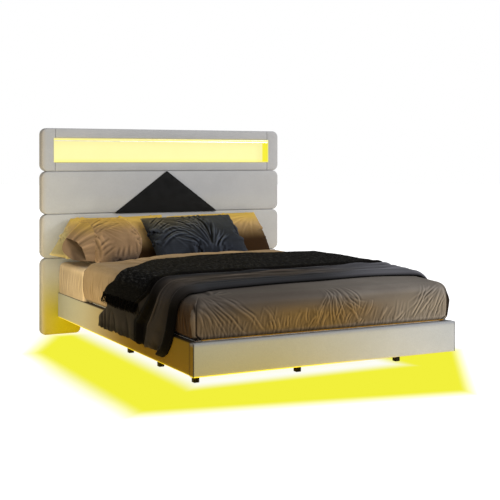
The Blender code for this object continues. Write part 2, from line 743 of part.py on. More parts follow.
def mattress():
    half = MATTRESS_WIDTH / 2
    low = (-half, MATTRESS_FOOT, MATTRESS_BOTTOM)
    high = (half, MATTRESS_HEAD, MATTRESS_TOP)
    box("mattress", low, high, ("sheet_cotton", TAN, 0.8), MATTRESS_ROUND, 3)


def tucked_cover():
    """A light cover over the mattress, tucked in at the sides and foot, with pleats down its foot."""
    half = MATTRESS_WIDTH / 2 + COVER_SIDE
    foot = MATTRESS_FOOT - COVER_SIDE
    bottom = RAIL_TOP + COVER_HEM
    length = COVER_HEAD_EDGE - foot
    bm = bmesh.new()
    bmesh.ops.create_cube(bm, size=1)
    lengthwise = [e for e in bm.edges if abs(e.verts[0].co.y - e.verts[1].co.y) > 0]
    bmesh.ops.subdivide_edges(bm, edges=lengthwise, cuts=COVER_STATIONS, use_grid_fill=True)
    crosswise = [e for e in bm.edges if abs(e.verts[0].co.x - e.verts[1].co.x) > 0]
    bmesh.ops.subdivide_edges(bm, edges=crosswise, cuts=COVER_ACROSS, use_grid_fill=True)
    for vertex in bm.verts:
        share = vertex.co.y + 1 / 2
        place = foot + share * length
        if share < ROUNDING and vertex.co.z < 0:
            place += PLEAT_DEPTH * (1 + math.cos(vertex.co.x * PLEAT_COUNT * math.tau)) / 2
        vertex.co.y = place
        vertex.co.x *= 2 * half
        vertex.co.z = cover_top(place) if vertex.co.z > 0 else bottom
    obj = add_object("tucked_cover", finish_mesh("tucked_cover", bm), ("cover_cotton", TAUPE, 0.8))

    def on_side(point):
        return abs(point.x) > half - ROUNDING

    def at_foot(point):
        return point.y < foot + ROUNDING

    def upper_weight(start, end):
        low_ends = sum(point.z < bottom + ROUNDING for point in (start, end))
        along_side = on_side(start) and on_side(end)
        along_foot = at_foot(start) and at_foot(end)
        if low_ends == 0:
            return 1 if along_side or along_foot else 0
        return 1 if low_ends == 1 and along_side and along_foot else 0

    weigh_edges(obj, upper_weight)
    add_bevel(obj, COVER_ROUND, 3, by_weight=True)
    gap = DRAPE_GAP / 2
    low = (-MATTRESS_WIDTH / 2 - gap, MATTRESS_FOOT - gap, bottom - 2 * MATTRESS_ROUND)
    high = (MATTRESS_WIDTH / 2 + gap, MATTRESS_HEAD, MATTRESS_TOP + gap)
    cut_box(obj, "mattress_space", low, high, MATTRESS_ROUND, 3)


def edge_place(line_shares, span, far):
    """How far along the bed an edge lies, at a distance from the middle towards a hem."""
    reached, lengths = zip(*line_shares)
    return MATTRESS_FOOT + MATTRESS_LENGTH * float(np.interp(far / span, reached, lengths))


def across_bed(hem, top, half_width):
    """Points round the bed's cross-section, from the left hem to the right: (far, x, z, normal).

    far is the distance from the middle of the top, and is negative on the left.
    """
    flat = half_width - COMFORTER_BEND
    arc = COMFORTER_BEND * math.pi / 2
    shoulder = top - COMFORTER_BEND
    points = []
    for step in range(CROSS_STEPS_HANG):
        down = (shoulder - hem) * (1 - step / CROSS_STEPS_HANG)
        points.append((-(flat + arc + down), -half_width, shoulder - down, (-1, 0)))
    for step in range(CROSS_STEPS_BEND):
        turn = math.pi / 2 * step / CROSS_STEPS_BEND
        out, up = -math.cos(turn), math.sin(turn)
        far = -(flat + COMFORTER_BEND * (math.pi / 2 - turn))
        points.append((far, -flat + COMFORTER_BEND * out, shoulder + COMFORTER_BEND * up, (out, up)))
    for step in range(CROSS_STEPS_TOP // 2 + 1):
        x = -flat * (1 - step / (CROSS_STEPS_TOP / 2))
        points.append((x, x, top, (0, 1)))
    mirrored = [(-far, -x, z, (-n[0], n[1])) for far, x, z, n in reversed(points)]
    return points + mirrored


def cloth_solid(name, inner, outer, surface):
    """A closed sheet between two grids of points of the same size."""
    bm = bmesh.new()
    rows, columns = len(inner), len(inner[0])
    lower = [[bm.verts.new(point) for point in row] for row in inner]
    upper = [[bm.verts.new(point) for point in row] for row in outer]
    for i in range(rows - 1):
        for j in range(columns - 1):
            for side in (lower, upper):
                bm.faces.new((side[i][j], side[i + 1][j], side[i + 1][j + 1], side[i][j + 1]))
    rim = [(i, 0) for i in range(rows)]
    rim += [(rows - 1, j) for j in range(1, columns)]
    rim += [(i, columns - 1) for i in range(rows - 2, -1, -1)]
    rim += [(0, j) for j in range(columns - 2, 0, -1)]
    for (i, j), (k, m) in zip(rim, rim[1:] + rim[:1]):
        bm.faces.new((lower[i][j], lower[k][m], upper[k][m], upper[i][j]))
    obj = add_object(name, finish_mesh(name, bm), surface)
    obj.data.shade_smooth()
    return obj


def smooth_step(value):
    value = min(max(value, 0), 1)
    return value * value * (3 - 2 * value)


def drape(name, surface, half, hem, crown, places, under, thickness):
    """A cloth laid across the bed, its two ends hanging down.

    places gives the rows' places along the bed at a distance from the middle. under is the height
    beneath the cloth, and thickness also takes how far up the surface faces there.
    """
    guide = across_bed(hem, crown, half)
    columns = [[(far, place) for place in places(far)] for far, *_ in guide]
    inner, outer = [], []
    for row in zip(*columns):
        inner_row, outer_row = [], []
        for index, (far, place) in enumerate(row):
            _, x, z, (sideways, up) = across_bed(hem, under(far, place), half)[index]
            out = thickness(far, place, up)
            inner_row.append((x, place, z))
            outer_row.append((x + sideways * out, place, z + up * out))
        inner.append(inner_row)
        outer.append(outer_row)
    cloth_solid(name, inner, outer, surface)


def comforter_foot(far):
    return edge_place(COMFORTER_FOOT_SHARES, COMFORTER_SPAN, far)


def throw_foot(far):
    return edge_place(THROW_FOOT_SHARES, THROW_SPAN, far)


def throw_head(far):
    return edge_place(THROW_HEAD_SHARES, THROW_SPAN, far)


def comforter_inside(place):
    return cover_top(place) + DRAPE_GAP


def comforter_fold(far, place):
    """How far the comforter stands out: ridges beside its foot edge and ripples down its sides."""
    bare = smooth_step((throw_foot(far) - FOLD_START - place) / FOLD_RAMP)
    from_edge = place - comforter_foot(far)
    crests = [RIDGE_FIRST + ridge * RIDGE_PITCH for ridge in range(RIDGE_COUNT)]
    ridges = sum(math.exp(-(((from_edge - crest) / RIDGE_WIDTH) ** 2)) for crest in crests)
    hang = smooth_step((abs(far) - THROW_SPAN - FOLD_START) / RIPPLE_RISE)
    ripple = (1 + math.cos(place / RIPPLE_PITCH * math.tau)) / 2
    return bare * RIDGE_HEIGHT * ridges + hang * (1 - bare) * RIPPLE_HEIGHT * ripple


def comforter():
    """A dark comforter laid across the bed, its two ends hanging over the rails."""

    def places(far):
        return np.linspace(comforter_foot(far), COMFORTER_HEAD_EDGE, COMFORTER_STATIONS)

    def under(far, place):
        return comforter_inside(place)

    def thickness(far, place, up):
        return COMFORTER_SIDE + (COMFORTER_TOP - COMFORTER_SIDE) * up + comforter_fold(far, place)

    surface = ("comforter_cloth", BROWN_GREY, 0.85)
    drape("comforter", surface, COMFORTER_HALF, COMFORTER_HEM, COMFORTER_CROWN, places, under, thickness)


def throw():
    """A knitted throw over the head half of the comforter, and down its head edge where it reaches past."""
    past = COMFORTER_HEAD_EDGE + THROW_SHOULDER

    def places(far):
        shoulder = min(past, throw_head(far) - THROW_STEP)
        return [*np.linspace(throw_foot(far), shoulder, THROW_STATIONS - 1), throw_head(far)]

    def under(far, place):
        reaches = smooth_step((throw_head(far) - past) / THROW_STEP - 1)
        down = smooth_step((place - past) / THROW_STEP) * reaches
        return comforter_inside(place) + COMFORTER_TOP * (1 - down) + DRAPE_GAP

    def thickness(far, place, up):
        return THROW_THICKNESS

    surface = ("throw_knit", CHARCOAL, 0.95)
    drape("throw", surface, THROW_HALF, THROW_HEM, THROW_CROWN, places, under, thickness)


Pillow = namedtuple("Pillow", "name surface width height front back taper_share edge")


def pillow(shape, centre):
    """A crowned pillow with drawn-in sides, leaning back. Its bottom edge rests on the mattress."""
    half_width, half_height = shape.width / 2, shape.height / 2
    bm = bmesh.new()
    bmesh.ops.create_grid(bm, x_segments=PILLOW_COLUMNS, y_segments=PILLOW_ROWS, size=1)
    crowns = []
    for vertex in bm.verts:
        u, v = vertex.co.x, vertex.co.y
        crown = max((1 - abs(u) ** PILLOW_SIDE_POWER) * (1 - abs(v) ** PILLOW_SIDE_POWER), 0)
        crowns.append(crown**PILLOW_CROWN_POWER * (1 - PILLOW_RIM_SHARE) + PILLOW_RIM_SHARE)
        drawn_in = 1 - PILLOW_PINCH_SHARE * (1 - v * v)
        vertex.co.x = half_width * u * drawn_in * (1 - shape.taper_share * v)
        vertex.co.y = half_height * v * (1 - PILLOW_PINCH_SHARE * (1 - u * u))
    obj = add_object(shape.name, finish_mesh(shape.name, bm), shape.surface)
    group = obj.vertex_groups.new(name="crown")
    for index, crown in enumerate(crowns):
        group.add([index], crown, "REPLACE")
    solid = obj.modifiers.new("Solidify", "SOLIDIFY")
    solid.thickness = shape.front + shape.back
    solid.offset = (shape.front - shape.back) / (shape.front + shape.back)
    solid.vertex_group = "crown"
    obj.data.shade_smooth()
    rim = PILLOW_RIM_SHARE * shape.back * math.cos(LEAN)
    base = MATTRESS_TOP + PILLOW_LIFT + rim
    middle_y = shape.edge + half_height * math.cos(LEAN)
    obj.location = (centre, middle_y, base + half_height * math.sin(LEAN))
    obj.rotation_euler = (LEAN, 0, 0)


def pillow_row(parting_share, left, right):
    """Two pillows side by side, parted at a share of half the mattress's width."""
    parting = parting_share * MATTRESS_WIDTH / 2
    for side, shape in ((-1, left), (1, right)):
        reach = shape.width / 2 * (1 + shape.taper_share)
        pillow(shape, parting + side * (PILLOW_PARTING / 2 + reach))


def pillows():
    tan_back = ("back_pillow_cotton", TAN, 0.8)
    tan_front = ("front_pillow_cotton", TAN, 0.8)
    slate = ("slate_pillow_cotton", SLATE, 0.7)
    back_edge = HEAD_FACE - BACK_PILLOW_HEAD_GAP - PILLOW_HEIGHT * math.cos(LEAN)
    bulges = BACK_PILLOW_FRONT + FRONT_PILLOW_BACK
    creased_edge = back_edge - (bulges + CREASED_PILLOW_GAP) / math.sin(LEAN)
    slate_edge = back_edge - (bulges + SLATE_PILLOW_GAP) / math.sin(LEAN)
    back = (PILLOW_HEIGHT, BACK_PILLOW_FRONT, PILLOW_BULGE)
    creased = (CREASED_PILLOW_HEIGHT, CREASED_PILLOW_BULGE, FRONT_PILLOW_BACK)
    smooth = (PILLOW_HEIGHT, PILLOW_BULGE, FRONT_PILLOW_BACK)
    pillow_row(
        BACK_PARTING_SHARE,
        Pillow(
            "back_pillow_left",
            tan_back,
            LEFT_BACK_PILLOW_WIDTH,
            *back,
            LEFT_BACK_TAPER_SHARE,
            back_edge,
        ),
        Pillow(
            "back_pillow_right",
            tan_back,
            RIGHT_BACK_PILLOW_WIDTH,
            *back,
            RIGHT_BACK_TAPER_SHARE,
            back_edge,
        ),
    )
    pillow_row(
        FRONT_PARTING_SHARE,
        Pillow(
            "front_pillow_left",
            tan_front,
            CREASED_PILLOW_WIDTH,
            *creased,
            CREASED_TAPER_SHARE,
            creased_edge,
        ),
        Pillow("front_pillow_right", slate, SLATE_PILLOW_WIDTH, *smooth, 0, slate_edge),
    )


def headboard():
    leg_panel("headboard_leg_left", -1)
    leg_panel("headboard_leg_right", 1)
    third = row_panel("headboard_third_row", THIRD_ROW, SECOND_ROW)
    row_panel("headboard_second_row", SECOND_ROW, TOP_ROW)
    top_row_cap("top_row_cap_left", -1)
    top_row_cap("top_row_cap_right", 1)
    top_row_strips()
    niche()
    triangle_panel()
    headboard_back()
    charging_module(third)


def frame():
    rails()
    slat_supports()
    slats()
    light_tape()
    light_controller()


def bedding():
    mattress()
    tucked_cover()
    comforter()
    throw()
    pillows()


clear_scene()
PARTS = new_collection("upholstered_bed", hidden=False)
CUTTERS = new_collection("cutters", hidden=True)
headboard()
frame()
bedding()
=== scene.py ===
import math
from contextlib import contextmanager

import bmesh
import bpy
import numpy as np
from mathutils import Matrix, Vector


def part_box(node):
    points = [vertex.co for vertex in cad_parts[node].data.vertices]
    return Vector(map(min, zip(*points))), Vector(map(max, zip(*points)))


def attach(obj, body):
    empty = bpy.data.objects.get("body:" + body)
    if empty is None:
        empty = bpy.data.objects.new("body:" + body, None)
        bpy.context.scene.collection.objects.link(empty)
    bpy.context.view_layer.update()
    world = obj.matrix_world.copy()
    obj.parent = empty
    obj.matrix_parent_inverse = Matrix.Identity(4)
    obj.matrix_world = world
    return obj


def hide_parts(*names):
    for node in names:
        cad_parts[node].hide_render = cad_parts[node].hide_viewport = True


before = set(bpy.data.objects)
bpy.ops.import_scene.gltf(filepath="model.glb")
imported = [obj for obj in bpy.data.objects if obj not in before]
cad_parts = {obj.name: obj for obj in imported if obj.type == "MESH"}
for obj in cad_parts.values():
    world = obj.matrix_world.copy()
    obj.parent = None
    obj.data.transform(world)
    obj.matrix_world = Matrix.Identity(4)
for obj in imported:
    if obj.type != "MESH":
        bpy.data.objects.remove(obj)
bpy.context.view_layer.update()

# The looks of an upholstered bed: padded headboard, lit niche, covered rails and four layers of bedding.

BODY = "bed"

# Camera
CAMERA_PLACE = (-2.6082, -5.125, 1.0604)
CAMERA_TURN = -0.4655
CAMERA_LENS = 74.03
CAMERA_SENSOR = 36.0
CAMERA_SHIFT = (0.0438, -0.1789)

# Bed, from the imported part
RAIL_BOTTOM, RAIL_TOP = (corner.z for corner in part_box("foot_rail_cover"))
MATTRESS_LOW, MATTRESS_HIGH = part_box("mattress")
COVER_LOW, COVER_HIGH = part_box("tucked_cover")
HEAD_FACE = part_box("headboard_second_row")[0].y

# Light: the world is brighter on one side, and the floor has a yellow pool round the bed
WHITE = (1.0, 1.0, 1.0, 1.0)
WORLD_BRIGHT_SIDE = (0.62, -0.62, 0.48)
WORLD_DIM = 0.34
WORLD_BRIGHT = 0.70
GLOW = (0.888, 0.871, 0.045, 1.0)  # the pool as the camera sees it
GLOW_LIGHT = (1.0, 0.68, 0.06, 1.0)  # the light it gives
GLOW_STRENGTH = 1.3
FLOOR_PAINT = (0.78, 0.78, 0.78, 1.0)
FLOOR_LIFT = 0.72  # what makes the lit floor white to the camera, apart from the shadow
FLOOR_RADIUS = 40.0
POOL_LEFT, POOL_RIGHT, POOL_FOOT, POOL_HEAD = -1.09, 1.16, -1.375, 0.97
POOL_FOOT_SLOPE = 0.20
POOL_HEAD_CORNER = (1.8, 2.38, 0.55)  # slope, crossing with the Y axis, and steepness of its edge
POOL_FOOT_CORNER = (0.809, 0.588, 1.262, 1.8)  # direction x and -y, distance, and steepness of its edge
CORE_LEFT, CORE_RIGHT, CORE_FOOT = -0.60, 0.60, -0.76
CORE_TINT = 0.22


# ---------------------------------------------------------------- camera, light and floor


def add_camera():
    data = bpy.data.cameras.new("camera")
    data.sensor_width = CAMERA_SENSOR
    data.lens = CAMERA_LENS
    data.shift_x, data.shift_y = CAMERA_SHIFT
    data.clip_end = 200
    camera = bpy.data.objects.new("camera", data)
    camera.location = CAMERA_PLACE
    camera.rotation_euler = (math.pi / 2, 0, CAMERA_TURN)
    bpy.context.scene.collection.objects.link(camera)
    bpy.context.scene.camera = camera


def add(tree, kind, inputs=(), **settings):
    """A shader node with its settings and inputs. An input is a value or another node's output."""
    made = tree.nodes.new("ShaderNode" + kind)
    for label, value in settings.items():
        setattr(made, label, value)
    for label, value in dict(inputs).items():
        if isinstance(value, bpy.types.NodeSocket):
            tree.links.new(value, made.inputs[label])
        else:
            made.inputs[label].default_value = value
    return made


def math_node(tree, operation, first, second=0.0):
    return add(tree, "Math", {0: first, 1: second}, operation=operation).outputs[0]


def times(tree, first, second):
    return math_node(tree, "MULTIPLY", first, second)


def plus(tree, first, second):
    return math_node(tree, "ADD", first, second)


def minus(tree, first, second):
    return math_node(tree, "SUBTRACT", first, second)


def mix(tree, share, first, second):
    made = add(tree, "Mix", {0: share, 6: first, 7: second}, data_type="RGBA")
    return made.outputs[2]


def scaled(tree, value, low, high, to_low=0.0, to_high=1.0, smooth=True):
    kind = "SMOOTHSTEP" if smooth else "LINEAR"
    inputs = {"Value": value, "From Min": low, "From Max": high, "To Min": to_low, "To Max": to_high}
    return add(tree, "MapRange", inputs, interpolation_type=kind).outputs["Result"]


def camera_sees(tree):
    """1 for rays from the camera, 0 for the light that falls on things."""
    return add(tree, "LightPath").outputs["Is Camera Ray"]


def add_world():
    """White to the camera. As light, it is brighter from the right front than from the left."""
    world = bpy.data.worlds.new("studio")
    bpy.context.scene.world = world
    world.use_nodes = True
    tree = world.node_tree
    shader = tree.nodes["Background"]
    shader.inputs["Color"].default_value = WHITE
    way = add(tree, "TexCoord").outputs["Generated"]
    facing = add(tree, "VectorMath", {0: way, 1: WORLD_BRIGHT_SIDE}, operation="DOT_PRODUCT").outputs["Value"]
    level = scaled(tree, facing, -0.7, 0.9, WORLD_DIM, WORLD_BRIGHT)
    seen = camera_sees(tree)
    lit = times(tree, level, minus(tree, 1.0, seen))
    tree.links.new(plus(tree, lit, seen), shader.inputs["Strength"])


def add_lamp(name, kind, place, aim, energy, colour=(1.0, 1.0, 1.0), size=1.0, size_y=None, angle=None):
    data = bpy.data.lights.new(name, kind)
    data.energy = energy
    data.color = colour
    if kind == "AREA":
        data.shape = "RECTANGLE"
        data.size = size
        data.size_y = size if size_y is None else size_y
    if angle is not None:
        data.angle = angle
    lamp = bpy.data.objects.new(name, data)
    lamp.location = place
    lamp.rotation_euler = (Vector(aim) - Vector(place)).to_track_quat("-Z", "Y").to_euler()
    lamp.visible_camera = False
    bpy.context.scene.collection.objects.link(lamp)
    return lamp


def furthest(tree, first, *others):
    """The largest of some values."""
    for other in others:
        first = math_node(tree, "MAXIMUM", first, other)
    return first


def past_pool(tree, x, y):
    """How far a place lies past the edge of the pool. It is below 0 inside."""
    left = minus(tree, POOL_LEFT, x)
    right = minus(tree, x, POOL_RIGHT)
    foot = minus(tree, POOL_FOOT, plus(tree, y, times(tree, x, POOL_FOOT_SLOPE)))
    head = minus(tree, y, POOL_HEAD)
    slope, crossing, steep = POOL_HEAD_CORNER
    head_corner = times(tree, minus(tree, minus(tree, y, times(tree, x, slope)), crossing), steep)
    along_x, along_y, distance, steep = POOL_FOOT_CORNER
    slant = minus(tree, times(tree, x, along_x), times(tree, y, along_y))
    foot_corner = times(tree, minus(tree, slant, distance), steep)
    return furthest(tree, left, right, foot, head, head_corner, foot_corner)


def past_core(tree, x, y):
    """How far a place lies past the pale middle of the pool, under the bed."""
    return furthest(tree, minus(tree, CORE_LEFT, x), minus(tree, x, CORE_RIGHT), minus(tree, CORE_FOOT, y))


def floor_material():
    """A white floor with a yellow pool of light round the bed's foot print."""
    made = bpy.data.materials.new("floor")
    made.use_nodes = True
    tree = made.node_tree
    tree.nodes.clear()
    parts = add(tree, "SeparateXYZ", {0: add(tree, "TexCoord").outputs["Object"]})
    x, y = parts.outputs["X"], parts.outputs["Y"]
    outside, inside = past_pool(tree, x, y), past_core(tree, x, y)
    pooled = scaled(tree, outside, 0.14, -0.13)
    yellow = times(tree, pooled, scaled(tree, inside, -0.10, 0.08))
    core = times(tree, pooled, scaled(tree, inside, 0.02, -0.25))
    colour = mix(tree, times(tree, core, CORE_TINT), WHITE, GLOW)
    colour = mix(tree, yellow, colour, GLOW)
    seen = camera_sees(tree)
    unseen = minus(tree, 1.0, seen)
    under = times(tree, scaled(tree, inside, 0.0, -0.06), scaled(tree, y, 1.0, 0.8))
    lit = furthest(tree, pooled, under)
    lift = add(tree, "Emission", {"Strength": times(tree, seen, FLOOR_LIFT)})
    paint = add(tree, "BsdfDiffuse", {"Color": FLOOR_PAINT})
    plain = add(tree, "AddShader", {0: paint.outputs[0], 1: lift.outputs[0]})
    pool = add(tree, "Emission", {"Color": colour, "Strength": seen})
    share = times(tree, lit, seen)
    mixed = add(tree, "MixShader", {0: share, 1: plain.outputs[0], 2: pool.outputs[0]})
    shine = times(tree, times(tree, pooled, unseen), GLOW_STRENGTH)
    glow = add(tree, "Emission", {"Color": GLOW_LIGHT, "Strength": shine})
    total = add(tree, "AddShader", {0: mixed.outputs[0], 1: glow.outputs[0]})
    output = add(tree, "OutputMaterial")
    tree.links.new(total.outputs[0], output.inputs["Surface"])
    return made


def add_floor():
    bm = bmesh.new()
    bmesh.ops.create_circle(bm, cap_ends=True, segments=96, radius=FLOOR_RADIUS)
    mesh = bpy.data.meshes.new("floor")
    bm.to_mesh(mesh)
    bm.free()
    floor = bpy.data.objects.new("floor", mesh)
    floor.location = (0, 0, -0.0005)
    mesh.materials.append(floor_material())
    bpy.context.scene.collection.objects.link(floor)


# ---------------------------------------------------------------- materials

WAVE_SCALE = 0.314  # the wave texture's scale for bands one metre apart
KNIT_ROW = 0.0075
KNIT_LOOP = 0.0095
KNIT_TINT = 0.88  # how fully a tint covers the yarn
SLUB_STRETCH = (1.0, 0.22, 1.0)


def principled(name, roughness, metallic=0.0, **sockets):
    """A new material and its node tree. Sockets are set by name, with _ for a space."""
    made = bpy.data.materials.new(name)
    made.use_nodes = True
    tree = made.node_tree
    shader = tree.nodes["Principled BSDF"]
    shader.inputs["Roughness"].default_value = roughness
    shader.inputs["Metallic"].default_value = metallic
    for label, value in sockets.items():
        shader.inputs[label.replace("_", " ")].default_value = value
    return made, tree, shader


def noise_node(tree, coords, scale, detail=3.0, roughness=0.55, distortion=0.0):
    inputs = {
        "Vector": coords,
        "Scale": scale,
        "Detail": detail,
        "Roughness": roughness,
        "Distortion": distortion,
    }
    return add(tree, "TexNoise", inputs).outputs["Fac"]


def wave(tree, coords, axis, pitch, distortion=0.0, detail=0.0):
    inputs = {
        "Vector": coords,
        "Scale": WAVE_SCALE / pitch,
        "Distortion": distortion,
        "Detail": detail,
        "Detail Scale": 1.0,
    }
    return add(tree, "TexWave", inputs, bands_direction=axis).outputs["Fac"]


def bump(tree, shader, height, strength, distance):
    made = add(tree, "Bump", {"Height": height, "Strength": strength, "Distance": distance})
    tree.links.new(made.outputs["Normal"], shader.inputs["Normal"])


def cloth_coords(tree, from_uv):
    if from_uv:
        return add(tree, "UVMap", uv_map="cloth").outputs["UV"]
    return add(tree, "TexCoord").outputs["Object"]


def fabric(
    name,
    dark,
    light,
    pitch=0.0016,
    relief=0.25,
    sheen=0.03,
    from_uv=False,
    patch=7.0,
    marl=0.10,
    tints=(),
    folds=(0.50, 0.35, 0.0022),
):
    """Woven cloth: threads both ways, fine flecks, slow changes of colour, and painted shade in creases.

    tints are (attribute, colour): where that attribute of the mesh is 1, the cloth has that colour.
    folds is how much painted shade darkens creases, how much painted highlight lightens ridges, and the
    height at which they do so fully.
    """
    sockets = {"Sheen_Weight": sheen, "Sheen_Roughness": 0.5, "Specular_IOR_Level": 0.08}
    made, tree, shader = principled(name, 0.9, **sockets)
    coords = cloth_coords(tree, from_uv)
    across = wave(tree, coords, "X", pitch, 1.5, 1.0)
    along = wave(tree, coords, "Y", pitch, 1.5, 1.0)
    threads = times(tree, across, along)
    if not from_uv:
        threads = plus(tree, threads, wave(tree, coords, "Z", pitch, 1.5, 1.0))
    patches = scaled(tree, noise_node(tree, coords, patch, 4.0), 0.35, 0.65)
    flecks = noise_node(tree, coords, 0.45 / pitch, 2.0)
    colour = mix(tree, patches, dark, light)
    for attribute, tint in tints:
        share = add(tree, "Attribute", attribute_name=attribute).outputs["Fac"]
        colour = mix(tree, share, colour, tint)
    shade = scaled(tree, flecks, 0.3, 0.7, 1.0 - marl, 1.0 + marl, smooth=False)
    # Painted shade in creases and painted highlights on ridges
    stand = add(tree, "Attribute", attribute_name="fold").outputs["Fac"]
    valley, ridge, height = folds
    sunk = scaled(tree, stand, -height, 0.0, 1.0 - valley, 1.0, smooth=False)
    raised = scaled(tree, stand, 0.0, height, 1.0, 1.0 + ridge, smooth=False)
    shade = times(tree, shade, times(tree, sunk, raised))
    tinted = add(tree, "VectorMath", {0: colour, 3: shade}, operation="SCALE").outputs[0]
    tree.links.new(tinted, shader.inputs["Base Color"])
    height = plus(tree, times(tree, threads, 0.5), flecks)
    bump(tree, shader, height, relief, 0.0006)
    return made


def knit(name, dark, light, tints=()):
    """Chunky marled knit: rows of loops, with slubs and flecks of a lighter yarn."""
    made, tree, shader = principled(name, 0.95, Sheen_Weight=0.0, Specular_IOR_Level=0.04)
    coords = cloth_coords(tree, True)
    drawn_out = add(tree, "VectorMath", {0: coords, 1: SLUB_STRETCH}, operation="MULTIPLY").outputs[0]
    rows = wave(tree, coords, "X", KNIT_ROW, 2.0, 2.0)
    loops = wave(tree, coords, "Y", KNIT_LOOP, 3.0, 2.0)
    flecks = noise_node(tree, coords, 150.0, 3.0, 0.7)
    slubs = noise_node(tree, drawn_out, 95.0, 2.0, 0.6)
    share = plus(tree, times(tree, flecks, 0.35), slubs)
    colour = mix(tree, scaled(tree, share, 0.60, 1.00), dark, light)
    for attribute, tint in tints:
        amount = add(tree, "Attribute", attribute_name=attribute).outputs["Fac"]
        colour = mix(tree, times(tree, amount, KNIT_TINT), colour, tint)
    # Painted shade in creases and painted highlights on ridges
    stand = add(tree, "Attribute", attribute_name="fold").outputs["Fac"]
    shade = scaled(tree, stand, -0.0025, 0.0025, 0.30, 1.5, smooth=False)
    tinted = add(tree, "VectorMath", {0: colour, 3: shade}, operation="SCALE").outputs[0]
    tree.links.new(tinted, shader.inputs["Base Color"])
    height = plus(tree, times(tree, rows, loops), times(tree, flecks, 0.8))
    bump(tree, shader, height, 0.9, 0.004)
    return made


def leather(name, colour):
    """Dull leather with a fine grain."""
    made, tree, shader = principled(name, 0.6, Specular_IOR_Level=0.12)
    coords = cloth_coords(tree, False)
    cells = add(tree, "TexVoronoi", {"Vector": coords, "Scale": 700.0}).outputs["Distance"]
    patches = noise_node(tree, coords, 18.0, 5.0)
    lighter = tuple(c * 1.5 + 0.001 for c in colour[:3]) + (1.0,)
    tree.links.new(mix(tree, scaled(tree, patches, 0.35, 0.7), colour, lighter), shader.inputs["Base Color"])
    tree.links.new(scaled(tree, patches, 0.3, 0.7, 0.5, 0.7), shader.inputs["Roughness"])
    bump(tree, shader, cells, 0.35, 0.0006)
    return made


def wood(name, dark, light, grain_axis, rings=30.0):
    """Planed wood with grain along one axis."""
    made, tree, shader = principled(name, 0.6, Specular_IOR_Level=0.35)
    coords = cloth_coords(tree, False)
    stretch = [rings] * 3
    stretch["XYZ".index(grain_axis)] = 1.2
    grained = add(tree, "Mapping", {"Vector": coords, "Scale": tuple(stretch)}).outputs["Vector"]
    grain = noise_node(tree, grained, 3.0, 6.0, 0.6, 0.4)
    fine = noise_node(tree, grained, 14.0, 3.0)
    share = scaled(tree, plus(tree, grain, times(tree, fine, 0.3)), 0.48, 0.8)
    tree.links.new(mix(tree, share, light, dark), shader.inputs["Base Color"])
    tree.links.new(scaled(tree, grain, 0.3, 0.7, 0.5, 0.72), shader.inputs["Roughness"])
    bump(tree, shader, grain, 0.25, 0.0008)
    return made


def moulded(name, colour, roughness, relief=0.15, metallic=0.0, shine=0.5):
    """Moulded plastic or satin metal with a fine texture."""
    made, tree, shader = principled(name, roughness, metallic, Specular_IOR_Level=shine)
    coords = cloth_coords(tree, False)
    grain = noise_node(tree, coords, 1400.0, 2.0)
    patches = noise_node(tree, coords, 30.0, 3.0)
    lighter = tuple(min(1.0, c * 1.25 + 0.003) for c in colour[:3]) + (1.0,)
    rough = scaled(tree, patches, 0.3, 0.7, roughness * 0.85, roughness * 1.15)
    tree.links.new(mix(tree, patches, colour, lighter), shader.inputs["Base Color"])
    tree.links.new(rough, shader.inputs["Roughness"])
    bump(tree, shader, grain, relief, 0.0002)
    return made


def glowing(name, colour, strength, base):
    """A surface that gives light, slightly uneven."""
    made, tree, shader = principled(name, 0.5, Emission_Strength=strength)
    coords = cloth_coords(tree, False)
    patches = noise_node(tree, coords, 60.0, 2.0)
    dimmer = tuple(c * 0.9 for c in colour[:3]) + (1.0,)
    tree.links.new(mix(tree, patches, dimmer, colour), shader.inputs["Emission Color"])
    shader.inputs["Base Color"].default_value = base
    return made


def niche_paint():
    """Pale laminate, with the yellow light that washes it painted on as a glow: brightest at its edges, and
    deeper on the end walls.
    """
    made, tree, shader = principled("niche_glow", 0.6, Emission_Strength=1.0, Specular_IOR_Level=0.1)
    low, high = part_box("niche_liner")
    place = add(tree, "TexCoord").outputs["Object"]
    parts = add(tree, "SeparateXYZ", {0: place})
    middle = (low.z + high.z) / 2
    half = (high.z - low.z) / 2
    off = math_node(tree, "ABSOLUTE", minus(tree, parts.outputs["Z"], middle))
    edge = scaled(tree, off, half * 0.66, half * 0.98)
    facing = add(tree, "SeparateXYZ", {0: add(tree, "NewGeometry").outputs["Normal"]})
    wall = scaled(tree, math_node(tree, "ABSOLUTE", facing.outputs["X"]), 0.6, 0.9)
    soft = noise_node(tree, place, 14.0, 3.0)
    back = mix(tree, soft, (0.86, 0.81, 0.36, 1.0), (0.88, 0.84, 0.40, 1.0))
    lit = mix(tree, edge, back, (0.93, 0.82, 0.24, 1.0))
    colour = mix(tree, wall, lit, (0.80, 0.74, 0.02, 1.0))
    tree.links.new(colour, shader.inputs["Emission Color"])
    shader.inputs["Base Color"].default_value = (0.14, 0.13, 0.06, 1.0)
    return made


# ---------------------------------------------------------------- shapes


def link(name, mesh, surface, smooth=True):
    obj = bpy.data.objects.new(name, mesh)
    bpy.context.scene.collection.objects.link(obj)
    mesh.materials.append(surface)
    if smooth:
        mesh.shade_smooth()
    return obj


def mesh_object(name, points, faces, surface, uv=None, smooth=True):
    mesh = bpy.data.meshes.new(name)
    mesh.from_pydata([tuple(p) for p in points], [], [tuple(f) for f in faces])
    if uv is not None:
        layer = mesh.uv_layers.new(name="cloth")
        loops = np.empty(len(mesh.loops), np.int32)
        mesh.loops.foreach_get("vertex_index", loops)
        layer.data.foreach_set("uv", np.asarray(uv, np.float32)[loops].ravel())
    mesh.validate()
    return link(name, mesh, surface, smooth)


@contextmanager
def editing(mesh):
    """A bmesh of the mesh, written back at the end."""
    bm = bmesh.new()
    bm.from_mesh(mesh)
    yield bm
    bm.to_mesh(mesh)
    bm.free()


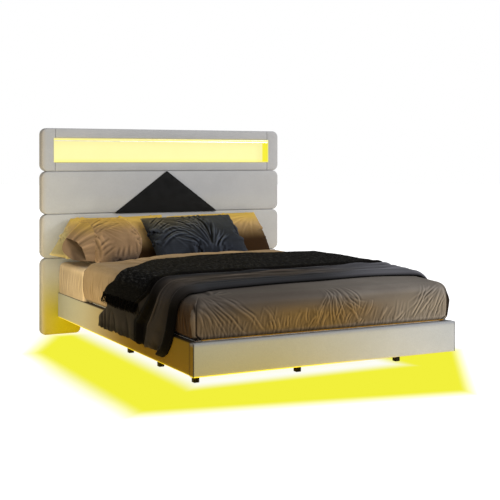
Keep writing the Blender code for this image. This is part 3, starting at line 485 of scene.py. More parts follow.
def outward(obj):
    """Turns every face outward."""
    with editing(obj.data) as bm:
        bmesh.ops.recalc_face_normals(bm, faces=bm.faces)


def place_on_bed(obj, slot, *nodes):
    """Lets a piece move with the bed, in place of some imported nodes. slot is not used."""
    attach(obj, BODY)
    if nodes:
        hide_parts(*nodes)


def ease(value, start=0.0, end=1.0):
    share = np.clip((np.asarray(value, float) - start) / (end - start), 0, 1)
    return share * share * (3 - 2 * share)


def smooth_noise(x, y, seed):
    """Smooth noise between -1 and 1 at each point, one bump a unit."""
    table = np.random.default_rng(seed).uniform(-1, 1, (64, 64))
    x, y = np.broadcast_arrays(np.asarray(x, float), np.asarray(y, float))
    i, j = np.floor(x).astype(int), np.floor(y).astype(int)
    u, v = ease(x - i), ease(y - j)
    corner = [[table[(i + a) % 64, (j + b) % 64] for b in (0, 1)] for a in (0, 1)]
    low = corner[0][0] * (1 - u) + corner[1][0] * u
    high = corner[0][1] * (1 - u) + corner[1][1] * u
    return low * (1 - v) + high * v


def smoothed(line, per=5):
    """A line with points added so that it turns gently."""
    line = np.asarray(line, float)
    before = np.concatenate([[2 * line[0] - line[1]], line, [2 * line[-1] - line[-2]]])
    t = np.linspace(0, 1, per, endpoint=False)[:, None]
    pieces = []
    for a, b, c, d in zip(before, before[1:], before[2:], before[3:]):
        bend, twist = 2 * a - 5 * b + 4 * c - d, 3 * b - a - 3 * c + d
        pieces.append(0.5 * (2 * b + (c - a) * t + bend * t**2 + twist * t**3))
    return np.concatenate(pieces + [line[-1:]])


def stroke_height(x, y, strokes, crisp=0.0):
    """How far a set of strokes raises each point. A stroke is (line, width, height).

    crisp adds a valley along one side of each stroke, as a share of its height.
    """
    shape = np.shape(x)
    points = np.stack([np.ravel(x), np.ravel(y)], 1)
    total = np.zeros(len(points))
    for line, width, height in strokes:
        line = np.asarray(line, float)
        margin = 4 * width
        near = np.all((points > line.min(0) - margin) & (points < line.max(0) + margin), axis=1)
        if not near.any():
            continue
        some = points[near]
        best = np.full(len(some), np.inf)
        along, beside = np.zeros(len(some)), np.zeros(len(some))
        count = len(line) - 1
        for index in range(count):
            start, run = line[index], line[index + 1] - line[index]
            off = some - start
            share = np.clip(off @ run / (run @ run), 0, 1)
            away = np.linalg.norm(off - share[:, None] * run, axis=1)
            closer = away < best
            best[closer] = away[closer]
            along[closer] = ((index + share) / count)[closer]
            beside[closer] = np.sign(run[0] * off[:, 1] - run[1] * off[:, 0])[closer]
        taper = np.clip(np.sin(math.pi * along), 0, 1) ** 0.8
        rise = np.exp(-((best / width) ** 2))
        if crisp:
            rise = rise - crisp * np.exp(-(((best * beside - 1.7 * width) / width) ** 2))
        total[near] += height * taper * rise
    return total.reshape(shape)


def unit(angle):
    """A step of length 1 at an angle."""
    return np.array([math.cos(angle), math.sin(angle)])


def bent_line(start, angle, length, bend, steps=7):
    """Points of a line that turns steadily by bend over its length."""
    points = [np.asarray(start, float)]
    for step in range(steps):
        points.append(points[-1] + length / steps * unit(angle + bend * (step + 0.5) / steps))
    return np.array(points)


def fan(seed, origin, angles, count, start, reach, bend, width, height):
    """Strokes that spread from a point."""
    rng = np.random.default_rng(seed)
    strokes = []
    for index in range(count):
        angle = angles[0] + (angles[1] - angles[0]) * (index + rng.uniform(-0.3, 0.3) + 0.5) / count
        first = start * rng.uniform(0.6, 1.6)
        at = np.asarray(origin) + first * unit(angle)
        length = reach * rng.uniform(0.55, 1.0)
        tall = height * rng.uniform(0.5, 1.0)
        line = bent_line(at, angle, length, bend * rng.uniform(0.6, 1.3))
        strokes.append((line, width * rng.uniform(0.8, 1.3), tall))
    return strokes


def grid_faces(rows, columns, start=0):
    index = start + np.arange(rows * columns).reshape(rows, columns)
    corners = (index[:-1, :-1], index[1:, :-1], index[1:, 1:], index[:-1, 1:])
    return np.stack(corners, -1).reshape(-1, 4).tolist()


def ring_faces(rows, columns, looped=False):
    """Quads between rings of points, each closed on itself. looped joins the last ring to the first."""
    faces = []
    for i in range(rows if looped else rows - 1):
        here, there = i * columns, (i + 1) % rows * columns
        for j in range(columns):
            k = (j + 1) % columns
            faces.append((here + j, here + k, there + k, there + j))
    return faces


def ringed(name, rings, surface, looped=False):
    """A closed mesh of rings of points, with a face over the first ring and the last unless looped."""
    rings = np.asarray(rings)
    rows, columns = rings.shape[:2]
    faces = ring_faces(rows, columns, looped)
    if not looped:
        faces.append(tuple(range(columns))[::-1])
        faces.append(tuple((rows - 1) * columns + j for j in range(columns)))
    obj = mesh_object(name, rings.reshape(-1, 3), faces, surface)
    outward(obj)
    return obj


def cloth_shell(name, points, inner, surface, uv):
    """A closed cloth between two grids of points of one size."""
    rows, columns = points.shape[:2]
    count = rows * columns
    faces = grid_faces(rows, columns)
    faces += [face[::-1] for face in grid_faces(rows, columns, count)]
    rim = [(i, 0) for i in range(rows)] + [(rows - 1, j) for j in range(1, columns)]
    rim += [(i, columns - 1) for i in range(rows - 2, -1, -1)]
    rim += [(0, j) for j in range(columns - 2, 0, -1)]
    ids = [i * columns + j for i, j in rim]
    for a, b in zip(ids, ids[1:] + ids[:1]):
        faces.append((b, a, a + count, b + count))
    both = np.concatenate([points.reshape(-1, 3), inner.reshape(-1, 3)])
    flat = np.asarray(uv, float).reshape(-1, 2)
    obj = mesh_object(name, both, faces, surface, np.concatenate([flat, flat]))
    outward(obj)
    return obj


def read(mesh, what="co"):
    """Each vertex's place, or its normal."""
    values = np.empty(len(mesh.vertices) * 3)
    mesh.vertices.foreach_get(what, values)
    return values.reshape(-1, 3)


def line_share(value, at, width):
    """1 on a line and 0 away from it."""
    return np.exp(-(((value - at) / width) ** 2))


def paint_points(obj, name, values):
    """Stores a value at each point, for the material."""
    layer = obj.data.attributes.new(name, "FLOAT", "POINT")
    layer.data.foreach_set("value", np.asarray(values, np.float32).ravel())


def paint_by_place(obj, **rules):
    """Stores each rule(x, y, z) at each point, under its name."""
    for name, rule in rules.items():
        paint_points(obj, name, rule(*read(obj.data).T))


def paint_folds(obj, repeats=10):
    """Stores how far each point stands out from the smoothed surface, by which painted shade darkens creases
    and painted highlight lightens ridges.
    """
    mesh = obj.data
    count = len(mesh.vertices)
    points, normals = read(mesh), read(mesh, "normal")
    ends = np.empty(len(mesh.edges) * 2, np.int32)
    mesh.edges.foreach_get("vertices", ends)
    one, two = ends.reshape(-1, 2).T
    degree = np.maximum(np.bincount(one, minlength=count) + np.bincount(two, minlength=count), 1)
    smooth = points.copy()
    for _ in range(repeats):
        sums = [
            np.bincount(one, smooth[two, k], count) + np.bincount(two, smooth[one, k], count)
            for k in range(3)
        ]
        smooth = 0.5 * smooth + 0.5 * np.stack(sums, 1) / degree[:, None]
    paint_points(obj, "fold", np.einsum("ij,ij->i", points - smooth, normals))


# ---------------------------------------------------------------- padded panels


def inset_outline(corners, radii, insets, steps, between):
    """A convex outline with each side moved in by its inset and its corners rounded. (x, z) points."""
    corners = [np.asarray(c, float) for c in corners]
    count = len(corners)
    lines, points, arcs = [], [], []
    for index in range(count):
        run = corners[(index + 1) % count] - corners[index]
        run /= np.linalg.norm(run)
        inward = np.array([-run[1], run[0]])
        lines.append((corners[index] + inward * insets[index], run, inward))
    for index in range(count):
        before, after = lines[index - 1], lines[index]
        matrix = np.array([before[1], -after[1]]).T
        share = np.linalg.solve(matrix, after[0] - before[0])
        corner = before[0] + before[1] * share[0]
        inset = (insets[index - 1] + insets[index]) / 2
        radius = max(radii[index] - inset, min(radii[index], 0.0015))
        turn = math.acos(np.clip(before[1] @ after[1], -1, 1))
        back = radius * math.tan(turn / 2)
        centre = corner - before[1] * back + before[2] * radius
        start = math.atan2(*(-before[2])[::-1])
        arcs.append([centre + radius * unit(start + turn * k / steps) for k in range(steps + 1)])
    for index in range(count):
        points += arcs[index]
        last, first = arcs[index][-1], arcs[(index + 1) % count][0]
        points += [last + (first - last) * k / between for k in range(1, between)]
    return np.array(points)


def padded_panel(
    name, corners, radii, edges, back, surface,
    edge=0.010, crown=0.004, wrinkle=0.0004, seed=1, front=HEAD_FACE,
):
    """An upholstered panel: flat back, rounded front edge and a slightly crowned face.

    corners run anticlockwise seen from the front. edges scales the edge rounding of each side.
    """
    sizes = np.ptp(np.array(corners), axis=0)
    deepest = sizes.min() / 2 - 0.004 if len(corners) == 4 else sizes.min() * 0.30
    rings = [(0.0, back), (0.0, back - 0.002)]
    for step in range(7):
        turn = math.pi / 2 * step / 6
        rings.append((edge * (1 - math.cos(turn)), front + crown + edge * (1 - math.sin(turn))))
    reach = edge
    while reach < deepest:
        reach = min(reach * 1.35 + 0.002, deepest)
        rise = 1 - math.exp(-(reach - edge) / 0.022)
        rings.append((reach, front + crown * (1 - rise)))
    layers = []
    for inset, depth in rings:
        insets = [min(inset * (weight if inset <= edge else 1.0), deepest) for weight in edges]
        if inset > edge:
            insets = [max(inset - edge * (1 - weight), 0.0005) for weight in edges]
        outline = inset_outline(corners, radii, insets, 10, 40)
        layers.append(np.column_stack([outline[:, 0], np.full(len(outline), depth), outline[:, 1]]))
    points = np.array(layers)
    inside = ease(np.array([r[0] for r in rings]), 0.0, edge)[:, None]
    x, z = points[..., 0], points[..., 2]
    ripple = smooth_noise(x * 9, z * 9, seed) + 0.5 * smooth_noise(x * 31, z * 31, seed + 1)
    points[..., 1] += wrinkle * ripple * inside
    obj = ringed(name, points, surface)
    return obj


def rectangle(low, high):
    return [(low.x, low.z), (high.x, low.z), (high.x, high.z), (low.x, high.z)]


def cut_away(obj, low, high):
    """Takes a box out of a piece."""
    bm = bmesh.new()
    bmesh.ops.create_cube(bm, size=1)
    for vertex in bm.verts:
        vertex.co = [a + (b - a) * (c + 0.5) for a, b, c in zip(low, high, vertex.co)]
    mesh = bpy.data.meshes.new("cutter")
    bm.to_mesh(mesh)
    bm.free()
    cutter = bpy.data.objects.new("cutter", mesh)
    bpy.context.scene.collection.objects.link(cutter)
    modifier = obj.modifiers.new("cut", "BOOLEAN")
    modifier.operation = "DIFFERENCE"
    modifier.solver = "EXACT"
    modifier.object = cutter
    bpy.context.view_layer.update()
    cleaned = bpy.data.meshes.new_from_object(obj.evaluated_get(bpy.context.evaluated_depsgraph_get()))
    obj.modifiers.clear()
    obj.data = cleaned
    bpy.data.objects.remove(cutter)


POCKET_ROOM = 0.0004  # between a pad and what sits in it
ROW_CORNER = 0.040
LEG_CORNER = 0.030
SHARP = 0.001  # a corner that meets another piece
LEG_LIGHT_END_X = -0.45  # the light painted on the left leg ends here


def headboard_light(x, y, z):
    """Where the left leg and the row above it are lit from below."""
    low = 0.08 + 0.84 * ease(z, 0.44, 0.12)
    edge = 0.10 * ease(z, 0.66, 0.46)
    return (x < LEG_LIGHT_END_X) * np.where(z < 0.443, low, edge) * (1 - 0.15 * ease(x, -0.80, -0.82))


def headboard_bright(x, y, z):
    """The brightest light, low on the left leg and near the rail."""
    return (x < LEG_LIGHT_END_X) * ease(z, 0.22, 0.05) * ease(x, -0.80, -0.70) * 0.85


def headboard_warm_light(x, y, z):
    """A faint warm rim of painted light at the left ends of the rows."""
    return ease(x, -0.79, -0.822) * 0.55


def row_pad(node, radii, edges, surface, seed):
    low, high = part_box(node)
    return padded_panel(node + "_pad", rectangle(low, high), radii, edges, high.y, surface, seed=seed)


def headboard(surface):
    """The rows, leg panels, and the top row's end caps and strips, with pockets for what sits in them."""
    made = {}
    for seed, node in ((1, "headboard_second_row"), (2, "headboard_third_row")):
        made[node] = row_pad(node, [ROW_CORNER] * 4, [1] * 4, surface, seed)
    for seed, node in ((7, "headboard_leg_left"), (9, "headboard_leg_right")):
        made[node] = row_pad(node, [LEG_CORNER, LEG_CORNER, ROW_CORNER, ROW_CORNER], [1] * 4, surface, seed)
    module_low, module_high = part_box("charging_module")
    pocket_high = (module_high.x + 0.05, module_high.y + POCKET_ROOM, module_high.z + POCKET_ROOM)
    cut_away(made["headboard_third_row"], [value - POCKET_ROOM for value in module_low], pocket_high)
    liner_low, liner_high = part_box("niche_liner")
    for side, seed, node, radii, edges in (
        (-1, 11, "top_row_cap_left", [ROW_CORNER, SHARP, SHARP, ROW_CORNER], [1, 0.14, 1, 1]),
        (1, 13, "top_row_cap_right", [SHARP, ROW_CORNER, ROW_CORNER, SHARP], [1, 1, 1, 0.14]),
    ):
        made[node] = row_pad(node, radii, edges, surface, seed)
        inner = sorted((side * 0.70, side * (liner_high.x + POCKET_ROOM)))
        start = (inner[0], liner_low.y - POCKET_ROOM, liner_low.z - POCKET_ROOM)
        cut_away(made[node], start, (inner[1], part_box(node)[1].y + 0.1, liner_high.z + POCKET_ROOM))
    for node, edges in (
        ("top_row_lower_strip", [1, 0.1, 0.5, 0.1]),
        ("top_row_upper_strip", [0.5, 0.1, 1, 0.1]),
    ):
        made[node] = row_pad(node, [SHARP] * 4, edges, surface, 21)
    for node, panel in made.items():
        # Painted light: yellow from below on the left leg and the row above it, and a warm rim at the rows'
        # left ends
        paint_by_place(panel, lit=headboard_light, bright=headboard_bright, warm=headboard_warm_light)
        place_on_bed(panel, "panel_fabric", node)


def triangle(surface, welt_surface):
    """The leather triangle and the cord round its edge."""
    low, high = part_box("triangle_panel")
    corners = [(low.x, low.z), (high.x, low.z), ((low.x + high.x) / 2, high.z)]
    flat = {"edge": 0.0025, "crown": 0.0015, "wrinkle": 0.0001, "front": low.y}
    panel = padded_panel("triangle_pad", corners, [0.003] * 3, [1] * 3, high.y, surface, **flat)
    place_on_bed(panel, "triangle_leather", "triangle_panel")
    outline = inset_outline(corners, [0.003] * 3, [0.0015] * 3, 6, 24)
    path = [(x, low.y + 0.0022, z) for x, z in outline]
    welt = tube("triangle_welt", path, 0.0016, welt_surface, closed=True)
    place_on_bed(welt, "triangle_leather")


def tube(name, points, radius, surface, closed=False, sides=8):
    """A round cord of mesh along a line of points."""
    line = np.asarray(points, float)
    run = np.roll(line, -1, 0) - np.roll(line, 1, 0) if closed else np.gradient(line, axis=0)
    run /= np.linalg.norm(run, axis=1, keepdims=True)
    rings = []
    guide = np.array([0.31, 0.59, 0.74])
    for place, heading in zip(line, run):
        first = np.cross(heading, guide)
        first /= np.linalg.norm(first)
        second = np.cross(heading, first)
        turns = [math.tau * k / sides for k in range(sides)]
        rings.append([place + radius * (math.cos(t) * first + math.sin(t) * second) for t in turns])
    return ringed(name, rings, surface, looped=closed)


# ---------------------------------------------------------------- rails

RAIL_ROUND = 0.008
SIDE_RAIL_X = -0.705  # the left rail lies left of this
FOOT_RAIL_Y = -0.985  # the foot rail lies on the foot side of this


def rail_section(outer, inner, bottom, top, thick):
    """The cover's cross-section as (width, height): round the outside, and back behind the board."""
    sign = 1 if outer > inner else -1
    turns = [math.pi / 2 * step / 6 for step in range(7)]
    straight, rises = top - bottom - 2 * RAIL_ROUND, 14
    by_sine = [RAIL_ROUND * (1 - math.sin(turn)) for turn in turns]
    by_cosine = [RAIL_ROUND * (1 - math.cos(turn)) for turn in turns]
    section = [(inner, bottom + thick), (inner, bottom + 0.0004)]
    section += [(outer - sign * wide, bottom + tall) for wide, tall in zip(by_sine, by_cosine)]
    section += [(outer, bottom + RAIL_ROUND + straight * step / rises) for step in range(1, rises)]
    section += [(outer - sign * wide, top - tall) for wide, tall in zip(by_cosine, by_sine)]
    section += [(inner, top - 0.0004), (inner, top - thick)]
    back = outer - sign * thick
    return np.array(section + [(back, top - thick), (back, bottom + thick)])


def wrapped_rail(name, node, board, surface, along, seed):
    """A rail's cover: fabric over thin padding, wrapped round the outside, top and bottom of its board."""
    low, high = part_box(node)
    board_low, board_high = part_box(board)
    across = 1 - along
    sign = 1 if abs(high[across]) > abs(low[across]) else -1
    outer, inner = (high[across], low[across]) if sign > 0 else (low[across], high[across])
    board_face = (board_high if sign > 0 else board_low)[across]
    section = rail_section(outer, inner, low.z, high.z, min(abs(outer - board_face), 0.004))
    close = np.array([0.0015, 0.003, 0.006])
    even = np.linspace(low[along], high[along], int((high[along] - low[along]) / 0.02))
    places = np.unique(np.concatenate([even, low[along] + close, high[along] - close]))
    end = np.minimum(places - low[along], high[along] - places)
    tuck = 0 * end
    if name.startswith("foot"):
        tuck = 0.0026 * (1 - np.sqrt(1 - (1 - np.clip(end / 0.006, 0, 1)) ** 2))
    points = np.zeros((len(places), len(section), 3))
    outside = np.isclose(section[:, 0], outer, atol=0.009)
    wide, tall = section.T
    for i, place in enumerate(places):
        ripple = 0.0005 * smooth_noise(place * 7, tall * 12, seed)
        ripple = ripple + 0.0003 * smooth_noise(place * 26, tall * 26, seed + 1)
        points[i, :, across] = wide + sign * np.where(outside, ripple - 0.0005 - tuck[i], 0)
        points[i, :, along] = place
        points[i, :, 2] = tall
    obj = ringed(name, points, surface)
    paint_rail(obj)
    place_on_bed(obj, "rail_fabric", node)


def rail_light(x, y, z):
    """Where the rails are lit yellow from below: more towards the bed's left foot."""
    height = (z - RAIL_BOTTOM) / (RAIL_TOP - RAIL_BOTTOM)
    side = (x < SIDE_RAIL_X) * (y > -1.02) * 0.42
    foot = (y < FOOT_RAIL_Y) * ease(x, 0.60, -0.45) * (0.50 + 0.22 * (1 - height))
    return np.clip(np.maximum(side, foot), 0, 1)


def rail_ochre(x, y, z):
    """The strong yellow-brown of the light painted on the left rail towards the foot."""
    return (x < SIDE_RAIL_X) * (y > -1.027) * ease(y, 0.80, -0.35)


def rail_edge(x, y, z):
    """The rails' lowest edge, lit from the floor."""
    return ease(z, RAIL_BOTTOM + 0.009, RAIL_BOTTOM + 0.003) * ease(x, 0.45, -0.20)


def rail_seam_shade(x, y, z):
    """Painted shade: dark seams round the foot rail's ends, and the shaded top of the left rail."""
    lines = line_share(y, -1.0280, 0.0032) + line_share(y, -0.9890, 0.0048)
    ends = (np.abs(x) > 0.7185) * np.clip(lines, 0, 1) * 0.9
    top = (x < -0.66) * (y > -1.00) * ease(z, RAIL_TOP - 0.0045, RAIL_TOP - 0.001) * 0.9
    return np.maximum(ends, top)


def rail_blue(x, y, z):
    """A cool rim of painted light along the top of the foot rail."""
    height = (z - RAIL_BOTTOM) / (RAIL_TOP - RAIL_BOTTOM)
    return (y < FOOT_RAIL_Y) * ease(height, 0.86, 0.985) * 0.75


def paint_rail(obj):
    # Painted light and shade: yellow from below, its stronger yellow-brown towards the foot, the lit lowest
    # edge, shade in the seams and on the left rail's top, and a cool top rim
    paint_by_place(obj, lit=rail_light, ochre=rail_ochre, edge=rail_edge, seam=rail_seam_shade, blue=rail_blue)


def rail_ends(surface):
    """The cloth that covers the two ends of the foot rail's board."""
    low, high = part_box("foot_rail_cover")

    def ripple(points, facing):
        return 0.0002 * smooth_noise(points[..., 1] * 90, points[..., 2] * 60, 37)

    for side, label in ((-1, "left"), (1, "right")):
        near, far = sorted((side * high.x, side * high.x + side * 0.0016))
        start = (near, low.y + 0.0006, low.z + 0.001)
        end = (far, high.y - 0.0006, high.z - 0.001)
        name = f"foot_rail_end_{label}"
        cloth = box_cloth(name, start, end, 0.0007, 0.003, ALL_SIDES, surface, ripple, open_below=False)
        paint_rail(cloth)
        place_on_bed(cloth, "rail_fabric")


def rails(surface):
    wrapped_rail("side_rail_left_pad", "side_rail_left_cover", "side_rail_left_board", surface, 1, 31)
    wrapped_rail("side_rail_right_pad", "side_rail_right_cover", "side_rail_right_board", surface, 1, 33)
    wrapped_rail("foot_rail_pad", "foot_rail_cover", "foot_rail_board", surface, 0, 35)
    rail_ends(surface)


# ---------------------------------------------------------------- fitted sheet and tucked cover

# For each side, the axis it lies across, and 0 for the low end of that axis or 1 for the high end
BOX_SIDES = {"top": (2, 1), "bottom": (2, 0), "left": (0, 0), "right": (0, 1), "foot": (1, 0), "head": (1, 1)}
ALL_SIDES = tuple(BOX_SIDES)
FLAT_AXES = ((2, 1), (0, 2), (0, 1))  # the axes of the flat cloth on a side across X, Y or Z
NO_EXTRA = ((), (), ())
SHEET_OVER = 0.026  # how far the sheet's box reaches past the mattress
SHEET_BELLY = 0.004
COVER_SPLIT = -0.30  # where the foot cover ends
FOOT_FACE_Y = -0.96  # the cover's foot face lies on the foot side of this
COVER_ROUND = 0.050
COVER_CORNER = 0.015
COVER_HALF = COVER_HIGH.x
COVER_CROWN = 0.4824
COVER_LOFT_AT = 0.050
COVER_RUN = 1.035
COVER_FALL = 0.030


def spaced(low, high, step, extra=()):
    """Even places from low to high, and the extra ones between them."""
    even = np.linspace(low, high, max(3, int(round((high - low) / step)) + 1))
    return np.unique(np.round(np.concatenate([even, [e for e in extra if low < e < high]]), 6))


def shell_grid(low, high, step, sides, extra=NO_EXTRA):
    """Grids of points over some faces of a box, as (side, points)."""
    axis = [spaced(low[a], high[a], step, extra[a]) for a in range(3)]
    grids = []
    for side in sides:
        fixed, end = BOX_SIDES[side]
        one, two = (a for a in range(3) if a != fixed)
        first, second = np.meshgrid(axis[one], axis[two], indexing="ij")
        points = np.zeros(first.shape + (3,))
        points[..., one], points[..., two], points[..., fixed] = first, second, (low, high)[end][fixed]
        grids.append((side, points))
    return grids


def rounded(points, low, high, radius, open_below, corner=None):
    """The points moved onto a box with rounded edges, and the direction each faces.

    corner is a smaller rounding for the lower part of the upright edges.
    """
    low, high = np.array(low, float), np.array(high, float)
    radii = np.full(points.shape, float(radius))
    if corner is not None:
        share = ease(points[..., 2], high[2] - 2.4 * radius, high[2] - 0.1 * radius)
        radii[..., :2] = (corner + (radius - corner) * share)[..., None]
    floor = low + radii
    if open_below:
        floor[..., 2] = low[2] - 1
    core = np.clip(points, floor, high - radii)
    reach = (points - core) / radii
    facing = reach / np.maximum(np.linalg.norm(reach, axis=-1, keepdims=True), 1e-9)
    return core + facing * radii, facing


def box_cloth(
    name, low, high, radius, step, sides, surface, lift,
    open_below=True, scale=None, room=None, corner=None, extra=NO_EXTRA,
):
    """A cloth or pad over a box. lift gives how far each point stands out, from its place and facing.

    room is the box that is rounded, where it isn't the cloth's own.
    """
    points, faces, uvs = [], [], []
    round_low, round_high = room or (low, high)
    for side, grid in shell_grid(low, high, step, sides, extra):
        flat, facing = rounded(grid, round_low, round_high, radius, open_below, corner)
        if scale is not None:
            flat = scale(flat)
        moved = flat + facing * lift(flat, facing)[..., None]
        faces += grid_faces(*grid.shape[:2], sum(len(p) for p in points))
        points.append(moved.reshape(-1, 3))
        one, two = FLAT_AXES[BOX_SIDES[side][0]]
        uvs.append(np.stack([grid[..., one], grid[..., two]], -1).reshape(-1, 2))
    obj = mesh_object(name, np.concatenate(points), faces, surface, np.concatenate(uvs))
    middle = (low[2] + high[2]) / 2
    with editing(obj.data) as bm:
        bmesh.ops.remove_doubles(bm, verts=bm.verts, dist=1e-5)
        bmesh.ops.recalc_face_normals(bm, faces=bm.faces)
        upper = [f for f in bm.faces if f.calc_center_median().z > middle]
        if sum(f.normal.z * f.calc_area() for f in upper) < 0:
            bmesh.ops.reverse_faces(bm, faces=bm.faces)
    obj.data.shade_smooth()
    return obj


def mattress(surface):
    def plain(points, facing):
        return 0.0006 * smooth_noise(points[..., 0] * 12, points[..., 1] * 12 + points[..., 2] * 12, 41)

    start, end = tuple(c + 0.002 for c in MATTRESS_LOW), tuple(c - 0.002 for c in MATTRESS_HIGH)
    pad = box_cloth("mattress_pad", start, end, 0.043, 0.03, ALL_SIDES, surface, plain, open_below=False)
    place_on_bed(pad, "sheet_cotton", "mattress")


def sheet_creases():
    """The sheet's creases: on its sides as (y, z) strokes, and on its top as (x, y) strokes."""
    on_side = []
    rng = np.random.default_rng(42)
    for index in range(30):
        y = 0.46 + 0.46 * (index + rng.uniform(0, 1)) / 30
        line = bent_line((y, 0.27 + rng.uniform(-0.03, 0.05)), rng.uniform(1.2, 1.9), 0.13, 0.3)
        on_side.append((line, 0.006, 0.0026 * rng.uniform(0.3, 1)))
    on_top = fan(43, (-0.55, 0.93), (-1.9, -0.3), 16, 0.03, 0.42, 0.5, 0.010, 0.0030)
    on_top += fan(44, (0.55, 0.93), (-2.8, -1.2), 16, 0.03, 0.42, -0.5, 0.010, 0.0030)
    return on_side, on_top


def fitted_sheet(surface):
    """The head end of the sheet. The rest is under the cover."""
    low, high = MATTRESS_LOW, MATTRESS_HIGH
    side_creases, top_creases = sheet_creases()

    def creased(points, facing):
        x, y, z = points[..., 0], points[..., 1], points[..., 2]
        on_side = np.abs(facing[..., 0])
        side = stroke_height(y, z, side_creases) * on_side
        top = stroke_height(x, y, top_creases) * np.clip(facing[..., 2], 0, 1)
        belly = SHEET_BELLY * np.clip(1 - ((z - 0.34) / 0.11) ** 2, 0, 1) * on_side
        covered = SHEET_OVER * on_side * ease(y, COVER_HIGH.y + 0.002, COVER_HIGH.y - 0.020)
        slow = 0.0008 * smooth_noise(x * 14 + z * 9, y * 14, 45)
        shown = ease(y, COVER_HIGH.y + 0.004, COVER_HIGH.y + 0.090)
        return 0.0009 + np.clip(side + top, 0, 0.004) + np.abs(slow) + belly * shown - covered

    start = (low.x - SHEET_OVER, COVER_HIGH.y - 0.10, low.z + 0.02)
    end = (high.x + SHEET_OVER, HEAD_FACE - 0.004, high.z)
    sides = ("top", "left", "right", "head")
    sheet = box_cloth("fitted_sheet", start, end, 0.028, 0.0075, sides, surface, creased, corner=0.012)
    paint_folds(sheet)
    place_on_bed(sheet, "sheet_cotton")


def cover_top(place):
    """The height of the cover's long low curve along the bed."""
    return COVER_CROWN - COVER_FALL * ((np.asarray(place, float) - COVER_LOFT_AT) / COVER_RUN) ** 2


FOOT_FOLDS = (
    ((-0.697, 0.413), (-0.684, 0.385), (-0.671, 0.353), (-0.662, 0.321)),
    ((-0.69, 0.409), (-0.66, 0.384), (-0.634, 0.355), (-0.614, 0.31)),
    ((-0.673, 0.447), (-0.647, 0.41), (-0.612, 0.373), (-0.573, 0.315)),
    ((-0.69, 0.464), (-0.63, 0.444), (-0.573, 0.394), (-0.533, 0.363), (-0.507, 0.334))
    + ((-0.471, 0.292), (-0.435, 0.269)),
    ((-0.66, 0.47), (-0.586, 0.454), (-0.533, 0.423), (-0.471, 0.379), (-0.435, 0.353))
    + ((-0.408, 0.323), (-0.381, 0.281)),
    ((-0.569, 0.447), (-0.507, 0.425), (-0.453, 0.382), (-0.408, 0.351), (-0.367, 0.3), (-0.349, 0.283)),
    ((-0.349, 0.391), (-0.316, 0.349), (-0.303, 0.311), (-0.289, 0.278)),
    ((-0.326, 0.329), (-0.316, 0.304), (-0.31, 0.28)),
    ((-0.282, 0.338), (-0.275, 0.305), (-0.266, 0.276)),
    ((-0.223, 0.347), (-0.23, 0.314), (-0.226, 0.286)),
    ((-0.164, 0.355), (-0.181, 0.319), (-0.186, 0.279)),
    ((-0.124, 0.377), (-0.133, 0.336), (-0.124, 0.299)),
    ((-0.081, 0.337), (-0.1, 0.314), (-0.124, 0.266)),
    ((-0.042, 0.359), (-0.076, 0.312), (-0.1, 0.268)),
    ((-0.032, 0.383), (-0.061, 0.336), (-0.081, 0.267)),
    ((-0.008, 0.349), (-0.032, 0.309), (-0.042, 0.272)),
    ((-0.079, 0.489), (-0.033, 0.46), (-0.008, 0.424), (0.0, 0.384), (-0.002, 0.34)),
    ((-0.028, 0.486), (-0.008, 0.454), (0.023, 0.418), (0.044, 0.381), (0.044, 0.346)),
    ((0.0, 0.48), (0.044, 0.443), (0.06, 0.411), (0.07, 0.38)),
    ((0.039, 0.478), (0.086, 0.436), (0.117, 0.385), (0.133, 0.34), (0.159, 0.299)),
    ((0.065, 0.472), (0.117, 0.443), (0.159, 0.405), (0.165, 0.369), (0.154, 0.339)),
    ((0.138, 0.402), (0.138, 0.362), (0.149, 0.322), (0.159, 0.299)),
    ((0.245, 0.391), (0.234, 0.356), (0.202, 0.309)),
    ((-0.036, 0.382), (-0.059, 0.344), (-0.069, 0.31), (-0.061, 0.284)),
    ((0.086, 0.396), (0.06, 0.354), (0.044, 0.32)),
    ((0.117, 0.341), (0.096, 0.312), (0.086, 0.282)),
    ((0.181, 0.306), (0.17, 0.293), (0.159, 0.281)),
    ((0.331, 0.35), (0.304, 0.311), (0.288, 0.285)),
    ((0.425, 0.326), (0.397, 0.296), (0.375, 0.279)),
    ((0.566, 0.45), (0.532, 0.392), (0.492, 0.33), (0.464, 0.287)),
    ((0.606, 0.452), (0.56, 0.404), (0.532, 0.36), (0.503, 0.316), (0.487, 0.285)),
    ((0.634, 0.441), (0.594, 0.388), (0.549, 0.336), (0.526, 0.305)),
    ((0.658, 0.426), (0.617, 0.364), (0.583, 0.315)),
    ((0.681, 0.416), (0.646, 0.362), (0.606, 0.309)),
    ((-0.079, 0.376), (-0.074, 0.337), (-0.079, 0.294)),
    ((0.008, 0.383), (0.018, 0.339), (0.028, 0.303)),
)


def foot_wrinkles():
    """The creases in the cover's foot face, as (x, z) strokes."""
    rng = np.random.default_rng(55)
    strokes = []
    for line in FOOT_FOLDS:
        line = np.array(line)
        strokes.append((smoothed(line), 0.0052, 0.0030))
        for side in (-1, 1):
            beside = line + (side * rng.uniform(0.010, 0.017), rng.uniform(-0.010, 0.010))
            shorter = smoothed(beside[: max(3, len(beside) - 1)])
            strokes.append((shorter, 0.0046, 0.0018 * rng.uniform(0.4, 1)))
    strokes += fan(51, (-0.70, 0.45), (-1.35, -0.05), 22, 0.05, 0.26, -0.5, 0.0042, 0.0020)
    strokes += fan(52, (0.69, 0.455), (3.3, 4.5), 16, 0.04, 0.28, 0.45, 0.0042, 0.0022)
    strokes += fan(53, (0.04, 0.48), (-2.4, -0.8), 20, 0.03, 0.22, 0.7, 0.0042, 0.0022)
    for index in range(70):
        x = -0.62 + 1.26 * (index + rng.uniform(0, 1)) / 70
        lean = 1.35 - 0.25 * x + rng.uniform(-0.2, 0.2)
        start = (x, rng.uniform(0.266, 0.30))
        line = bent_line(start, lean, rng.uniform(0.05, 0.11), rng.uniform(-0.5, 0.2), 6)
        strokes.append((line, 0.0044, 0.0016 * rng.uniform(0.3, 1)))
    return strokes


